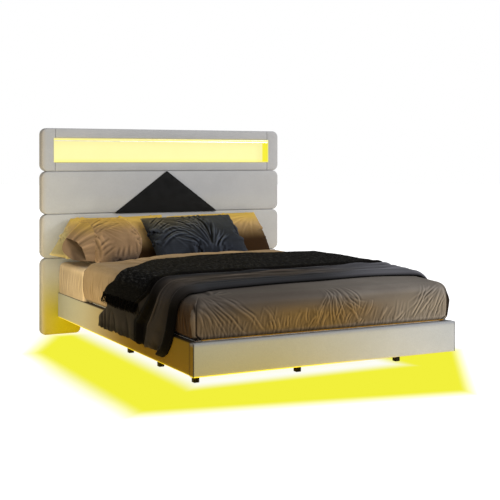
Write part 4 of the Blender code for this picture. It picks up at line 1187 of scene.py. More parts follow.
def side_wrinkles():
    """The creases in the cover's sides, as (y, z) strokes."""
    rng = np.random.default_rng(56)
    strokes = []
    for index in range(40):
        y = -0.98 + 1.45 * (index + rng.uniform(0, 1)) / 40
        start = (y, rng.uniform(0.265, 0.31))
        lean = 1.57 + rng.uniform(-0.35, 0.35)
        line = bent_line(start, lean, rng.uniform(0.07, 0.16), rng.uniform(-0.4, 0.4))
        strokes.append((line, 0.008, 0.0045 * rng.uniform(0.3, 1)))
    return strokes


def top_wrinkles():
    """The creases in the cover's top, as (x, y) strokes."""
    rng = np.random.default_rng(57)
    strokes = []
    for _ in range(30):
        start = (rng.uniform(-0.62, 0.35), 0.22 + 0.24 * rng.uniform(0, 1))
        lean = rng.uniform(-0.16, 0.16)
        line = bent_line(start, lean, rng.uniform(0.15, 0.45), rng.uniform(-0.25, 0.25))
        strokes.append((line, 0.009, 0.0055 * rng.uniform(0.3, 1)))
    strokes += fan(57, (-0.66, 0.44), (-0.9, 0.25), 10, 0.02, 0.42, -0.3, 0.010, 0.0060)
    strokes += fan(58, (-0.60, -0.97), (0.2, 1.4), 8, 0.02, 0.16, 0.2, 0.009, 0.0040)
    return strokes


def foot_swells():
    """The broad rises that the foot face's creases lie on."""
    return [(smoothed(line), 0.024, 0.0030) for line in FOOT_FOLDS]


def lower_top(points):
    """Pulls the cover's flat top down to its long low curve."""
    share = np.clip((points[..., 2] - 0.30) / (COVER_CROWN - 0.30), 0, 1)
    moved = points.copy()
    moved[..., 2] += (cover_top(points[..., 1]) - COVER_CROWN) * share
    return moved


def cover_puff(x, y):
    """How far the tan cover's top is puffed up beside the pillows, under the throw's head edge."""
    return 0.030 * ease(y, 0.20, 0.33) * ease(x, -0.56, -0.12) * ease(x, 0.68, 0.48)


def corner_seam(x, z, on_foot):
    """1 along the seams at the two corners of the foot face."""
    curve = COVER_HALF - 0.006 + 0 * z - 0.030 * ease(z, 0.300, 0.258) ** 2
    return line_share(np.abs(x), curve, 0.0035) * on_foot * ease(z, 0.43, 0.40)


def cover_lift():
    """How far the cover stands out from its rounded box, by place and facing."""
    on_foot_lines, on_side_lines, on_top_lines = foot_wrinkles(), side_wrinkles(), top_wrinkles()
    swells = foot_swells()

    def lift(points, facing):
        x, y, z = points[..., 0], points[..., 1], points[..., 2]
        on_foot = np.clip(-facing[..., 1], 0, 1)
        on_side = np.abs(facing[..., 0])
        inner = ease(np.abs(x), COVER_HALF - 0.004, COVER_HALF - 0.030)
        pleats = 0.0016 * smooth_noise(x / 0.0065, z / 0.09, 54) * ease(z, 0.320, 0.275)
        creases = stroke_height(x, z, on_foot_lines, 0.7) + stroke_height(x, z, swells) + pleats
        out = creases * on_foot * inner
        out += stroke_height(y, z, on_side_lines, 0.5) * on_side
        out += stroke_height(x, y, on_top_lines, 0.5) * np.clip(facing[..., 2], 0, 1)
        belly = np.clip(1 - ((z - 0.355) / 0.105) ** 2, 0, 1)
        out += 0.006 * belly * on_foot + 0.018 * belly * on_side * (on_side > on_foot)
        tuck = np.clip((0.282 - z) / 0.020, 0, 1) ** 2
        out -= 0.010 * tuck * np.maximum(on_foot, on_side)
        out += 0.0014 * smooth_noise(x * 8 + z * 5, y * 8 + z * 8, 59)
        ending = ease(y, 0.462, 0.4885)
        puffed = cover_puff(x, y) * (1 - ending) - (cover_top(y) - 0.4445) * ending
        out += puffed * np.clip(facing[..., 2], 0, 1)
        return out - 0.010 * corner_seam(x, z, on_foot**0.5) - 0.002

    return lift


def foot_warmth(x, y, z):
    """Where the taupe cover is lit warm from below: a band low on its foot face."""
    band = ease(z, 0.43, 0.335) * (1 - 0.55 * ease(z, 0.292, 0.270))
    middle = 0.22 + 0.78 * line_share(x, -0.10, 0.42) + 0.14 * smooth_noise(x * 6, z * 14, 60)
    return np.clip(band * middle, 0, 1) * (y < FOOT_FACE_Y)


def foot_pale_light(x, y, z):
    """Painted light: the lower right of the foot face is the palest."""
    return (y < FOOT_FACE_Y) * ease(x, 0.20, 0.55) * ease(z, 0.44, 0.34) * 0.8


def foot_dim_shade(x, y, z):
    """Painted shade: the taupe cover is darker towards the left, and near the rail."""
    across = 0.85 * ease(x, 0.42, -0.30)
    return np.clip(across + 0.35 * ease(z, 0.285, 0.266), 0, 1)


def side_amber(x, y, z):
    """The left side of the cover near the foot, lit amber from below."""
    return (x < -0.685) * (y > -0.985) * ease(z, 0.47, 0.36) * ease(y, -0.40, -0.70)


def cover_seam_shade(x, y, z):
    """Painted shade in dark lines: the corner seams, the tan cover's head edge and the gap above the left
    rail.
    """
    corner = corner_seam(x, z, (y < -0.975) * 1.0)
    right = ease(x, 0.692, 0.698) * (y < -0.955) * ease(z, 0.44, 0.41)
    head_edge = ease(y, COVER_HIGH.y - 0.010, COVER_HIGH.y - 0.004) * 0.85
    jag = 0.270 + 0.006 * smooth_noise(y * 22, 1.0, 67)
    gap = (x < -0.68) * (y < -0.70) * ease(z, jag + 0.006, jag - 0.002)
    return np.clip(corner + right + head_edge + gap, 0, 1)


def cover_half(name, start, end, sides, surface, sink, lift):
    """One of the two cloths of the cover. sink is how far it lies in."""
    low, high = COVER_LOW, COVER_HIGH
    insets = (0.001, 0.003, 0.005, 0.007, 0.009, 0.012)
    corner_lines = [side * (COVER_HALF - inset) for side in (-1, 1) for inset in insets]
    obj = box_cloth(
        name, start, end, COVER_ROUND, 0.0042, sides, surface,
        lambda points, facing: lift(points, facing) - sink,
        scale=lower_top,
        room=((start[0], low[1], low[2]), (end[0], high[1] + COVER_ROUND, high[2])),
        corner=COVER_CORNER,
        extra=(corner_lines, (), ()),
    )
    paint_folds(obj)
    # Painted light and shade on the cover: warm light low on the foot face, darker to the left and near the
    # rail, the pale lower right, amber light on the left side, and shade in seams and gaps
    paint_by_place(obj, warm=foot_warmth, dim=foot_dim_shade, pale=foot_pale_light)
    paint_by_place(obj, amber=side_amber, seam=cover_seam_shade)
    place_on_bed(obj, "cover_cotton", "tucked_cover")


def tucked_cover(tan, taupe, piping_surface):
    """The light cover at the head side and the taupe one at the foot, tucked in behind the rails."""
    low, high = np.array(COVER_LOW), np.array(COVER_HIGH)
    lift = cover_lift()
    tan_start, taupe_end = (low[0], COVER_SPLIT, low[2]), (high[0], COVER_SPLIT + 0.04, high[2])
    cover_half("tan_cover", tan_start, tuple(high), ("top", "left", "right"), tan, 0.0, lift)
    cover_half("foot_cover", tuple(low), taupe_end, ("top", "left", "right", "foot"), taupe, 0.0015, lift)
    path = [(x, low[1] + 0.0005, low[2] + 0.0012) for x in np.linspace(-0.668, 0.672, 120)]
    piping = tube("cover_piping", path, 0.0024, piping_surface)
    place_on_bed(piping, "cover_cotton")


# ---------------------------------------------------------------- comforter and throw

BEND = 0.062
COMFORTER_HALF = 0.7215
COMFORTER_HEM = 0.1561
COMFORTER_HEAD = 0.190
COMFORTER_CROWN = 0.4834
BEND_SAVING = (2 - math.pi / 2) * BEND
COMFORTER_SPAN = COMFORTER_HALF + COMFORTER_CROWN - COMFORTER_HEM - BEND_SAVING
THROW_HALF = 0.7335
THROW_HEM = 0.3001
THROW_CROWN = 0.5024
THROW_SPAN = THROW_HALF + THROW_CROWN - THROW_HEM - BEND_SAVING
FRINGE_LENGTH = 0.056
MATTRESS_RUN = MATTRESS_HIGH.y - MATTRESS_LOW.y
FINE_STRETCH = 0.375  # metres of fine creases to the width of the comforter's bare band
# Where an edge lies: (how far across the bed, how far along the mattress), both as shares
COMFORTER_FOOT_SHARES = (
    (-1.00, 0.152),
    (-0.965, 0.128),
    (-0.92, 0.104),
    (-0.86, 0.085),
    (-0.77, 0.068),
    (-0.70, 0.050),
    (-0.63, 0.045),
    (-0.54, 0.068),
    (-0.30, 0.096),
    (0.15, 0.117),
    (0.38, 0.130),
    (0.59, 0.114),
    (0.74, 0.081),
    (1.00, 0.126),
)
THROW_FOOT_SHARES = (
    (-1.00, 0.305),
    (-0.90, 0.247),
    (-0.81, 0.208),
    (-0.74, 0.208),
    (-0.62, 0.250),
    (-0.36, 0.264),
    (-0.10, 0.264),
    (0.15, 0.266),
    (0.50, 0.280),
    (1.00, 0.291),
)
THROW_HEAD_SHARES = (
    (-1.00, 0.560),
    (-0.92, 0.530),
    (-0.84, 0.470),
    (-0.76, 0.446),
    (-0.63, 0.503),
    (-0.51, 0.580),
    (-0.31, 0.643),
    (0.12, 0.670),
    (0.51, 0.664),
    (1.00, 0.648),
)


def edge_place(shares, span, far):
    """How far along the bed an edge lies, as a smooth curve through its shares."""
    reached = np.array([s[0] for s in shares]) * span
    places = MATTRESS_LOW.y + MATTRESS_RUN * np.array([s[1] for s in shares])
    far = np.asarray(far, float)
    slopes = np.gradient(places, reached)
    index = np.clip(np.searchsorted(reached, far) - 1, 0, len(reached) - 2)
    run = reached[index + 1] - reached[index]
    t = np.clip((far - reached[index]) / run, 0, 1)
    a, b = places[index], places[index + 1]
    m, n = slopes[index] * run, slopes[index + 1] * run
    near = (2 * t**3 - 3 * t**2 + 1) * a + (t**3 - 2 * t**2 + t) * m
    return near + (3 * t**2 - 2 * t**3) * b + (t**3 - t**2) * n


def across_bed(far, crown, half, hem, span):
    """x, z and facing of the path over the bed, at a distance from the middle towards a hem."""
    flat = half - BEND
    arc = BEND * math.pi / 2
    away, side = np.abs(far), np.sign(far)
    turn = np.clip((away - flat) / BEND, 0, math.pi / 2)
    hang = np.clip(away - flat - arc, 0, None) / (span - flat - arc)
    x = side * (np.minimum(away, flat) + BEND * np.sin(turn))
    z = crown - BEND * (1 - np.cos(turn)) - hang * (crown - BEND - hem)
    return x, z, side * np.sin(turn), np.cos(turn)


def drape(name, surface, half, span, crown_at, hem_at, foot, head, height, step, thickness, rows):
    """A cloth laid across the bed, and its outer points. height(far, place) is how far it stands out."""
    columns = int(2 * span / step)
    far = np.linspace(-span, span, columns)[None, :]
    share = np.linspace(0, 1, rows)[:, None]
    start, end = foot(far), head(far)
    place = start + share * (end - start)
    far = np.broadcast_to(far, place.shape)
    x, z, out, up = across_bed(far, crown_at(far, place), half, hem_at(far, place), span)
    rise = height(far, place)
    outer = np.stack([x + out * rise, place, z + up * rise], -1)
    gap = np.maximum(rise - thickness, 0.0008)
    inner = np.stack([x + out * gap, place, z + up * gap], -1)
    return cloth_shell(name, outer, inner, surface, np.stack([far, place], -1)), outer


def comforter_foot(far):
    return edge_place(COMFORTER_FOOT_SHARES, COMFORTER_SPAN, far)


def throw_foot(far):
    return edge_place(THROW_FOOT_SHARES, THROW_SPAN, far)


def throw_head(far):
    return edge_place(THROW_HEAD_SHARES, THROW_SPAN, far)


def comforter_fine():
    """Fine creases of the comforter, as strokes in (far, share of the bare band times FINE_STRETCH)."""
    rng = np.random.default_rng(61)
    strokes = []
    for _ in range(70):
        far, q = rng.uniform(-0.95, 0.9), rng.uniform(0.18, 0.92)
        lean = rng.uniform(-0.06, 0.06)
        line = bent_line((far, q * FINE_STRETCH), lean, rng.uniform(0.15, 0.45), rng.uniform(-0.1, 0.1))
        strokes.append((line, 0.008, 0.0034 * rng.uniform(0.3, 1)))
    return strokes


def comforter_head(far):
    """The head edge lies under the throw, and comes out below its fringe."""
    under = throw_head(np.clip(far, -THROW_SPAN, THROW_SPAN)) - 0.012
    bare = ease(np.abs(far), THROW_SPAN - 0.02, THROW_SPAN + 0.07)
    return np.minimum(COMFORTER_HEAD, under + (COMFORTER_HEAD - under) * bare)


def comforter_height(far, place):
    """How far the comforter stands out: a thick foot edge, a soft panel and a roll beside the throw.

    q is how far a place lies across the bare band, from 0 at the foot edge to 1 at the throw.
    """
    base = 0.011 + 0.007 * ease(np.abs(far), 0.76, 0.66)
    foot = comforter_foot(far)
    band = np.maximum(throw_foot(far) - foot, 0.05)
    from_edge = place - foot
    q = from_edge / band
    hang = ease(np.abs(far), 0.70, 0.95)
    left = ease(-far, 0.45, 0.80)
    bare = ease(1.06 - q, 0.0, 0.10)
    wander = 0.03 * smooth_noise(far * 3.2, 3.0, 62)
    roll = np.exp(-(((q - 0.86 + wander) / 0.080) ** 2))
    panel = np.exp(-(((q - 0.47 + wander) / 0.19) ** 4))
    lip = line_share(q, 0.090, 0.100)
    ridges = (0.010 + 0.020 * left) * roll + (0.004 + 0.016 * left) * panel + (0.008 + 0.014 * left) * lip
    fine = stroke_height(far, q * FINE_STRETCH, comforter_fine(), 0.6) * np.ones_like(q)
    base = base - 0.008 * bare * left * (1 - np.clip(roll + panel + lip, 0, 1))
    total = base + bare * (ridges + 2.0 * fine)
    below = ease(np.abs(far) - THROW_SPAN, -0.05, 0.06) * (1 - ease(1.15 - q, 0.0, 0.25))
    phase = place / 0.150 + 1.2 * smooth_noise(place * 6, far * 3, 63)
    folds = np.abs(np.sin(phase * math.pi)) ** 0.6 + 0.22 * smooth_noise(place * 22, far * 9, 68)
    total += below * 0.010 * (folds - 0.55) * (0.4 + 0.6 * hang)
    total += 0.0015 * smooth_noise(far * 7, place * 7, 64)
    rim = np.minimum(from_edge, comforter_head(far) - place)
    hem = COMFORTER_SPAN - np.abs(far)
    total *= 0.35 + 0.65 * np.sqrt(np.clip(rim / 0.030, 0, 1))
    ruffle = 0.007 * smooth_noise(place / 0.026, 1.0, 65) * ease(hem, 0.030, 0.0)
    total = total * (0.55 + 0.45 * np.sqrt(np.clip(hem / 0.018, 0, 1))) + np.maximum(ruffle, -0.002)
    return np.maximum(total, 0.003)


def comforter_hem(far, place):
    """The height of the hem: lower at the left foot corner, and gently scalloped."""
    scallop = 0.004 * smooth_noise(place * 26, 2.0, 66) + 0.003 * smooth_noise(place * 70, 4.0, 69)
    tip = 0.040 * np.clip((-0.60 - place) / 0.145, 0, 1) ** 1.5 * (far < 0)
    return COMFORTER_HEM + 0.006 + scallop * (1 - ease(place, -0.64, -0.70)) - tip


def flat_places(obj):
    """Each vertex's place on the flat cloth."""
    uv = np.empty(len(obj.data.loops) * 2, np.float32)
    obj.data.uv_layers["cloth"].data.foreach_get("uv", uv)
    loops = np.empty(len(obj.data.loops), np.int32)
    obj.data.loops.foreach_get("vertex_index", loops)
    flat = np.zeros((len(obj.data.vertices), 2))
    flat[loops] = uv.reshape(-1, 2)
    return flat.T


def paint_comforter(obj):
    """Its cool parts, painted highlights on its right and along a roll, and painted shade between its rolls
    and where it hangs.
    """
    far, place = flat_places(obj)
    foot = comforter_foot(far)
    q = (place - foot) / np.maximum(throw_foot(far) - foot, 0.05)
    hanging = ease(-far, 0.60, 0.78)
    on_right = ease(far, 0.05, 0.60)
    cool = np.maximum(ease(q, 0.42, 0.22), ease(q, 0.78, 0.84))
    cool = np.maximum(cool, on_right * 0.75)
    paint_points(obj, "slate", cool * (1 - hanging))
    # Painted highlight: lighter on the right, and along the top of the roll beside the throw
    paint_points(obj, "light", np.clip(on_right + 0.8 * line_share(q, 0.93, 0.035) * (1 - hanging), 0, 1))
    # Painted shade: in the gaps between the rolls, on the rolled edges, under the throw, all over the hanging
    # side, and in lines on top
    gap = line_share(q, 0.70, 0.070) + line_share(q, 1.0, 0.09)
    rolled = 0.92 * ease(q, 0.23, 0.15) + 0.95 * ease(q, 0.76, 0.82)
    tail = 0.35 * ease(np.abs(far), 0.97, 1.01)
    under_throw = 0.25 * ease(q, 1.0, 1.1)
    on_left = np.clip(gap + rolled * ease(q, 1.15, 1.05) + tail + under_throw + 0.22, 0, 1) * hanging
    on_top = 0.85 * line_share(q, 1.02, 0.035) + 0.6 * line_share(q, 0.845, 0.022)
    on_top = on_top + 0.45 * line_share(q, 0.44, 0.018) + 0.7 * line_share(q, 0.0, 0.02)
    paint_points(obj, "deep_shade", np.clip(on_left + on_top * (1 - hanging), 0, 1))
    paint_folds(obj, 14)


def comforter(surface):
    def crown(far, place):
        return cover_top(place) + 0.001

    obj, _ = drape(
        "comforter_cloth", surface, COMFORTER_HALF, COMFORTER_SPAN, crown, comforter_hem,
        comforter_foot, comforter_head, comforter_height, step=0.0050, thickness=0.007, rows=220,
    )
    place_on_bed(obj, "comforter_cloth", "comforter")
    paint_comforter(obj)


def throw_height(far, place):
    """How far the throw stands out: a rolled foot border with a groove beside it, and ribs."""
    from_foot = place - throw_foot(far)
    border, groove = line_share(from_foot, 0.020, 0.014), line_share(from_foot, 0.046, 0.007)
    rim = np.minimum(from_foot, throw_head(far) - place)
    total = 0.0085 + 0.0065 * border - 0.0035 * groove
    ribs = 0.0008 * np.cos(place / 0.0190 * math.tau) + 0.0007 * smooth_noise(far * 60, place * 90, 71)
    total = total + ribs + 0.0020 * smooth_noise(far * 9, place * 9, 72)
    return np.maximum(total * (0.3 + 0.7 * np.sqrt(np.clip(rim / 0.012, 0, 1))), 0.002)


def throw_shade(x, y, z):
    """Painted shade where the throw hangs, and along its rolled foot border on top of the bed."""
    border = ease(y - throw_foot(x), 0.095, 0.060) * (z > 0.42)
    return np.maximum(0.8 * ease(z, 0.49, 0.42), border)


def throw(surface, fringe_surface):
    def crown(far, place):
        return cover_top(place) + 0.0025 + np.maximum(0.018, cover_puff(far, place) + 0.002)

    def hem(far, place):
        return THROW_HEM + FRINGE_LENGTH + 0 * place

    obj, outer = drape(
        "throw_blanket", surface, THROW_HALF, THROW_SPAN, crown, hem,
        throw_foot, throw_head, throw_height, step=0.006, thickness=0.006, rows=120,
    )
    paint_folds(obj, 12)
    paint_by_place(obj, hang=throw_shade)
    fringe = add_fringe(outer, fringe_surface)
    place_on_bed(obj, "throw_knit", "throw")
    place_on_bed(fringe, "throw_knit")


def add_fringe(outer, surface):
    """Tufts of yarn along the two hems."""
    rng = np.random.default_rng(73)
    points, faces = [], []
    sides, steps = 5, 4
    tuft = ring_faces(steps + 1, sides)
    tuft += [tuple(range(sides)), tuple(range(steps * sides, (steps + 1) * sides))[::-1]]
    for column, side in ((0, -1), (outer.shape[1] - 1, 1)):
        line = outer[:, column]
        lengths = np.concatenate([[0], np.cumsum(np.linalg.norm(np.diff(line, axis=0), axis=1))])
        count = int(lengths[-1] / 0.0019)
        for index in range(count):
            at = lengths[-1] * (index + 0.5 + rng.uniform(-0.4, 0.4)) / count
            root = np.array([np.interp(at, lengths, line[:, k]) for k in range(3)])
            root[0] -= side * rng.uniform(0.000, 0.006)
            root[2] += 0.006
            lean = rng.normal(0, 0.13) + 0.45 * ease(at / lengths[-1], 0.90, 1.0)
            out = rng.normal(0.02, 0.07)
            length = FRINGE_LENGTH + rng.uniform(-0.006, 0.008)
            curl = rng.normal(0, 0.35)
            radius = rng.uniform(0.0012, 0.0021)
            start = len(points)
            for step in range(steps + 1):
                t = step / steps
                way = np.array([side * (out + 0.06 * t), math.sin(lean + curl * t), -math.cos(lean)])
                centre = root + length * t * way
                wide = radius * (1 - 0.4 * t)
                for k in range(sides):
                    points.append(centre + wide * np.append(unit(math.tau * k / sides), 0))
            faces += [tuple(start + k for k in face) for face in tuft]
    obj = mesh_object("throw_fringe", points, faces, surface, np.array(points)[:, 1:])
    outward(obj)
    return obj


# ---------------------------------------------------------------- pillows

LEAN = math.radians(45.0)
PILLOW_PRESSURE, PILLOW_FRAMES, PILLOW_SHRINK = 5.0, 26, -0.08
PILLOW_STEP = 0.0125
FLAT_HALF = 0.525  # half of the flat case to the whole of the pillow
FLAT_GAP = 0.012  # how far the flat case's two sides stand off its middle plane
BED_TOP = 0.4412  # where the pillows' lower edges lie
BACK_EDGE, BACK_RIM = 0.64799, 0.0054
FRONT_LEFT_EDGE, FRONT_LEFT_X, FRONT_RIM = 0.53005, -0.5102, 0.0014
MOUTH_FOOT = (-0.070, -0.158)  # where the case's open end meets the pillow


def pillow_case(width, height, step):
    """A closed flat case: two grids joined round their edge. Returns u, v, front and back ids, and faces."""
    columns, rows = int(width / step) + 1, int(height / step) + 1
    u, v = np.meshgrid(np.linspace(-1, 1, columns), np.linspace(-1, 1, rows))
    edge = (np.abs(u) > 1 - 1e-9) | (np.abs(v) > 1 - 1e-9)
    front = np.arange(u.size).reshape(rows, columns)
    back = front.copy()
    back[~edge] = u.size + np.arange((~edge).sum())
    faces = []
    for ids, flip in ((front, False), (back, True)):
        quads = np.stack((ids[:-1, :-1], ids[:-1, 1:], ids[1:, 1:], ids[1:, :-1]), -1).reshape(-1, 4)
        faces += (quads[:, ::-1] if flip else quads).tolist()
    return u, v, front, back, faces


def inflate(obj):
    """Blows the case up as cloth, and keeps the last frame's shape."""
    cloth = obj.modifiers.new("cloth", "CLOTH")
    settings = cloth.settings
    settings.quality = 6
    settings.mass = 0.25
    settings.tension_stiffness = 18
    settings.compression_stiffness = 12
    settings.shear_stiffness = 6
    settings.bending_stiffness = 0.35
    settings.tension_damping = 12
    settings.air_damping = 4
    settings.use_pressure = True
    settings.uniform_pressure_force = PILLOW_PRESSURE
    settings.shrink_min = PILLOW_SHRINK
    settings.effector_weights.gravity = 0
    cloth.collision_settings.use_collision = False
    cloth.point_cache.frame_start = 1
    cloth.point_cache.frame_end = PILLOW_FRAMES + 1
    scene = bpy.context.scene
    for number in range(1, PILLOW_FRAMES + 1):
        scene.frame_set(number)
    graph = bpy.context.evaluated_depsgraph_get()
    shaped = read(obj.evaluated_get(graph).data)
    obj.modifiers.clear()
    scene.frame_set(1)
    return shaped


def blended(left, right, bottom, top, u, v):
    """A patch between four edge curves, each given at the patch's rows or columns."""
    a, b = ((u + 1) / 2)[..., None], ((v + 1) / 2)[..., None]
    sides = (1 - a) * left[:, None] + a * right[:, None] + (1 - b) * bottom[None] + b * top[None]
    low = (1 - a) * bottom[0] + a * bottom[-1]
    high = (1 - a) * top[0] + a * top[-1]
    return sides - (1 - b) * low - b * high


def drawn_outline(corners, bulges, u, v):
    """The wanted outline as a patch. corners run clockwise from the top left, and bulges from the left."""
    top_left, top_right, low_right, low_left = (np.array(c, float) for c in corners)
    rows, columns = v[:, 0], u[0]

    def side(start, end, bulge, along):
        share = ((along + 1) / 2)[:, None]
        return start + (end - start) * share + np.outer(1 - along**2, bulge)

    return blended(
        side(low_left, top_left, (-bulges[0], 0), rows),
        side(low_right, top_right, (bulges[2], 0), rows),
        side(low_left, low_right, (0, -bulges[3]), columns),
        side(top_left, top_right, (0, bulges[1]), columns),
        u,
        v,
    )


def stuffed(obj, start, u, v, front, back):
    """The points of the blown-up case."""
    return inflate(obj)
    crown = ((1 - np.abs(u) ** 2.6) * (1 - np.abs(v) ** 2.6)) ** 0.6
    shaped = start.copy()
    for ids, side in ((back, -1), (front, 1)):
        shaped[ids, 2] = side * 0.07 * crown
    return shaped


def creased_case(obj, inside, creases, seed):
    """Makes the case's mesh finer and adds its creases, away from the seam. inside is 0 at the seam."""
    paint_points(obj, "inside", inside)
    with editing(obj.data) as bm:
        bmesh.ops.subdivide_edges(bm, edges=bm.edges, cuts=3, use_grid_fill=True, smooth=1.0)
    fine = read(obj.data)
    inside = np.empty(len(fine), np.float32)
    obj.data.attributes["inside"].data.foreach_get("value", inside)
    raised = stroke_height(fine[:, 0], fine[:, 1], creases, 0.3)
    rough = 0.0015 * smooth_noise(fine[:, 0] * 16, fine[:, 1] * 16, seed)
    fine[:, 2] += (raised + rough) * ease(inside, 0.03, 0.28)
    obj.data.vertices.foreach_set("co", fine.ravel())


def lean_back(obj, x, edge, rim, height):
    """Turns a pillow from flat to leaning, with its lower edge on the bed."""
    half = height / 2
    turn = Matrix.Translation((x, edge + half * math.cos(LEAN), BED_TOP + rim + half * math.sin(LEAN)))
    obj.data.transform(turn @ Matrix.Rotation(LEAN, 4, "X"))
    obj.data.update()


def pillow(name, surface, slot, corners, bulges, depths, place, creases, seed, slump=0.0, **paints):
    """A stuffed pillow leaning back on the bed.

    depths are of its front and back, place is its middle, lower edge and the height of its rim. creases are
    (x, up) strokes on its front, slump is how much thinner its upper part is, and paints are rules by place.
    """
    width, height = np.ptp(np.array(corners), axis=0)
    u, v, front, back, faces = pillow_case(width, height, PILLOW_STEP)
    count = back.max() + 1
    start = np.zeros((count, 3))
    inner = (np.abs(u) < 1 - 1e-9) & (np.abs(v) < 1 - 1e-9)
    for ids, side in ((back, -1), (front, 1)):
        stand = np.where(inner, side * FLAT_GAP, 0)
        start[ids] = np.stack([u * width * FLAT_HALF, v * height * FLAT_HALF, stand], -1)
    obj = mesh_object(name + "_case", start, faces, surface)
    shaped = stuffed(obj, start, u, v, front, back)
    wanted = drawn_outline(corners, bulges, u, v)
    fitted = shaped.copy()
    for ids in (back, front):
        sheet = shaped[ids][..., :2]
        drawn = blended(sheet[:, 0], sheet[:, -1], sheet[0], sheet[-1], u, v)
        fitted[ids, :2] = wanted + (sheet - drawn)
    stand = fitted[:, 2]
    fitted[:, 2] = np.where(stand > 0, stand * depths[0] / stand.max(), stand * depths[1] / -stand.min())
    fitted[front, 2] *= 1 - slump * ease(v, -0.2, 1.0)
    obj.data.vertices.foreach_set("co", fitted.ravel())
    inside = np.zeros(count)
    inside[front] = np.minimum(1 - np.abs(u), (1 - np.abs(v)) * height / width)
    creased_case(obj, inside, creases, seed)
    lean_back(obj, *place, height)
    obj.data.shade_smooth()
    outward(obj)
    paint_folds(obj, 16)
    paint_by_place(obj, **paints)
    place_on_bed(obj, slot, name)


SLATE_DARK_CREASES = (
    ((0.028, 0.175), (0.053, 0.098), (0.064, 0.038), (0.064, -0.036), (0.057, -0.102)),
    ((-0.152, 0.128), (-0.096, 0.096), (-0.061, 0.05), (-0.047, 0.02)),
    ((-0.227, 0.161), (-0.26, 0.132), (-0.289, 0.104)),
    ((-0.187, 0.145), (-0.239, 0.102), (-0.289, 0.052)),
    ((-0.17, 0.092), (-0.213, 0.068), (-0.252, 0.036)),
    ((-0.068, -0.008), (-0.147, 0.01), (-0.208, -0.016), (-0.262, -0.057)),
    ((0.101, 0.074), (0.087, 0.015), (0.071, -0.051), (0.062, -0.095)),
    ((0.147, -0.047), (0.11, -0.082), (0.085, -0.118)),
    ((0.267, 0.045), (0.283, -0.001), (0.284, -0.032)),
    ((-0.115, -0.043), (-0.062, -0.067), (-0.029, -0.112)),
    ((0.001, 0.169), (0.023, 0.122), (0.031, 0.069)),
)

SLATE_RIDGES = (
    ((-0.062, 0.125), (-0.011, 0.056), (0.028, -0.013), (0.042, -0.065), (0.045, -0.108)),
    ((-0.191, 0.16), (-0.106, 0.142), (-0.05, 0.087), (-0.01, 0.019), (0.016, -0.049), (0.042, -0.101)),
    ((-0.071, 0.021), (-0.153, 0.047), (-0.205, 0.034), (-0.259, -0.007)),
    ((-0.063, -0.03), (-0.144, -0.019), (-0.211, -0.045), (-0.267, -0.092)),
    ((0.174, -0.041), (0.13, -0.076), (0.1, -0.118)),
    ((0.114, -0.061), (0.092, -0.089), (0.075, -0.121)),
    ((0.27, 0.106), (0.282, 0.052), (0.294, 0.013)),
    ((-0.036, -0.061), (0.002, -0.092), (0.023, -0.122)),
    ((0.017, 0.122), (0.04, 0.061), (0.048, 0.009)),
)

TAN_DARK_CREASES = (
    ((-0.11, 0.127), (-0.095, 0.041), (-0.084, -0.049), (-0.078, -0.102), (-0.087, -0.154)),
    ((0.003, 0.166), (-0.037, 0.143), (-0.084, 0.108)),
    ((0.036, 0.14), (-0.025, 0.111), (-0.079, 0.089)),
    ((0.058, 0.114), (-0.017, 0.068), (-0.081, 0.023)),
    ((0.099, 0.119), (0.025, 0.079), (-0.021, 0.05)),
    ((-0.001, -0.059), (-0.038, -0.075), (-0.074, -0.102)),
    ((-0.006, -0.023), (-0.057, -0.056), (-0.082, -0.078)),
    ((0.018, -0.078), (-0.033, -0.11), (-0.067, -0.132)),
    ((0.045, -0.085), (0.026, -0.119), (0.015, -0.154)),
    ((0.075, -0.081), (0.057, -0.121), (0.05, -0.156)),
    ((0.107, -0.07), (0.096, -0.111), (0.091, -0.146)),
    ((0.153, -0.042), (0.156, -0.085), (0.15, -0.126)),
    ((0.186, 0.005), (0.195, -0.051), (0.188, -0.092)),
)

TAN_RIDGES = (
    ((-0.099, 0.084), (-0.087, 0.017), (-0.071, -0.055), (-0.061, -0.091)),
    ((-0.014, 0.154), (-0.058, 0.113), (-0.09, 0.083)),
    ((0.156, 0.186), (0.163, 0.117), (0.193, 0.066), (0.214, 0.016)),
    ((-0.02, 0.10), (-0.05, 0.085), (-0.08, 0.065)),
    ((0.02, -0.045), (-0.03, -0.065), (-0.07, -0.09)),
)


def strokes_of(valleys, ridges, width, height):
    """Valleys sink by the height, and ridges are wider and rise a little less."""
    made = [(smoothed(line), width, -height) for line in valleys]
    return made + [(smoothed(line), width * 1.2, height * 0.8) for line in ridges]


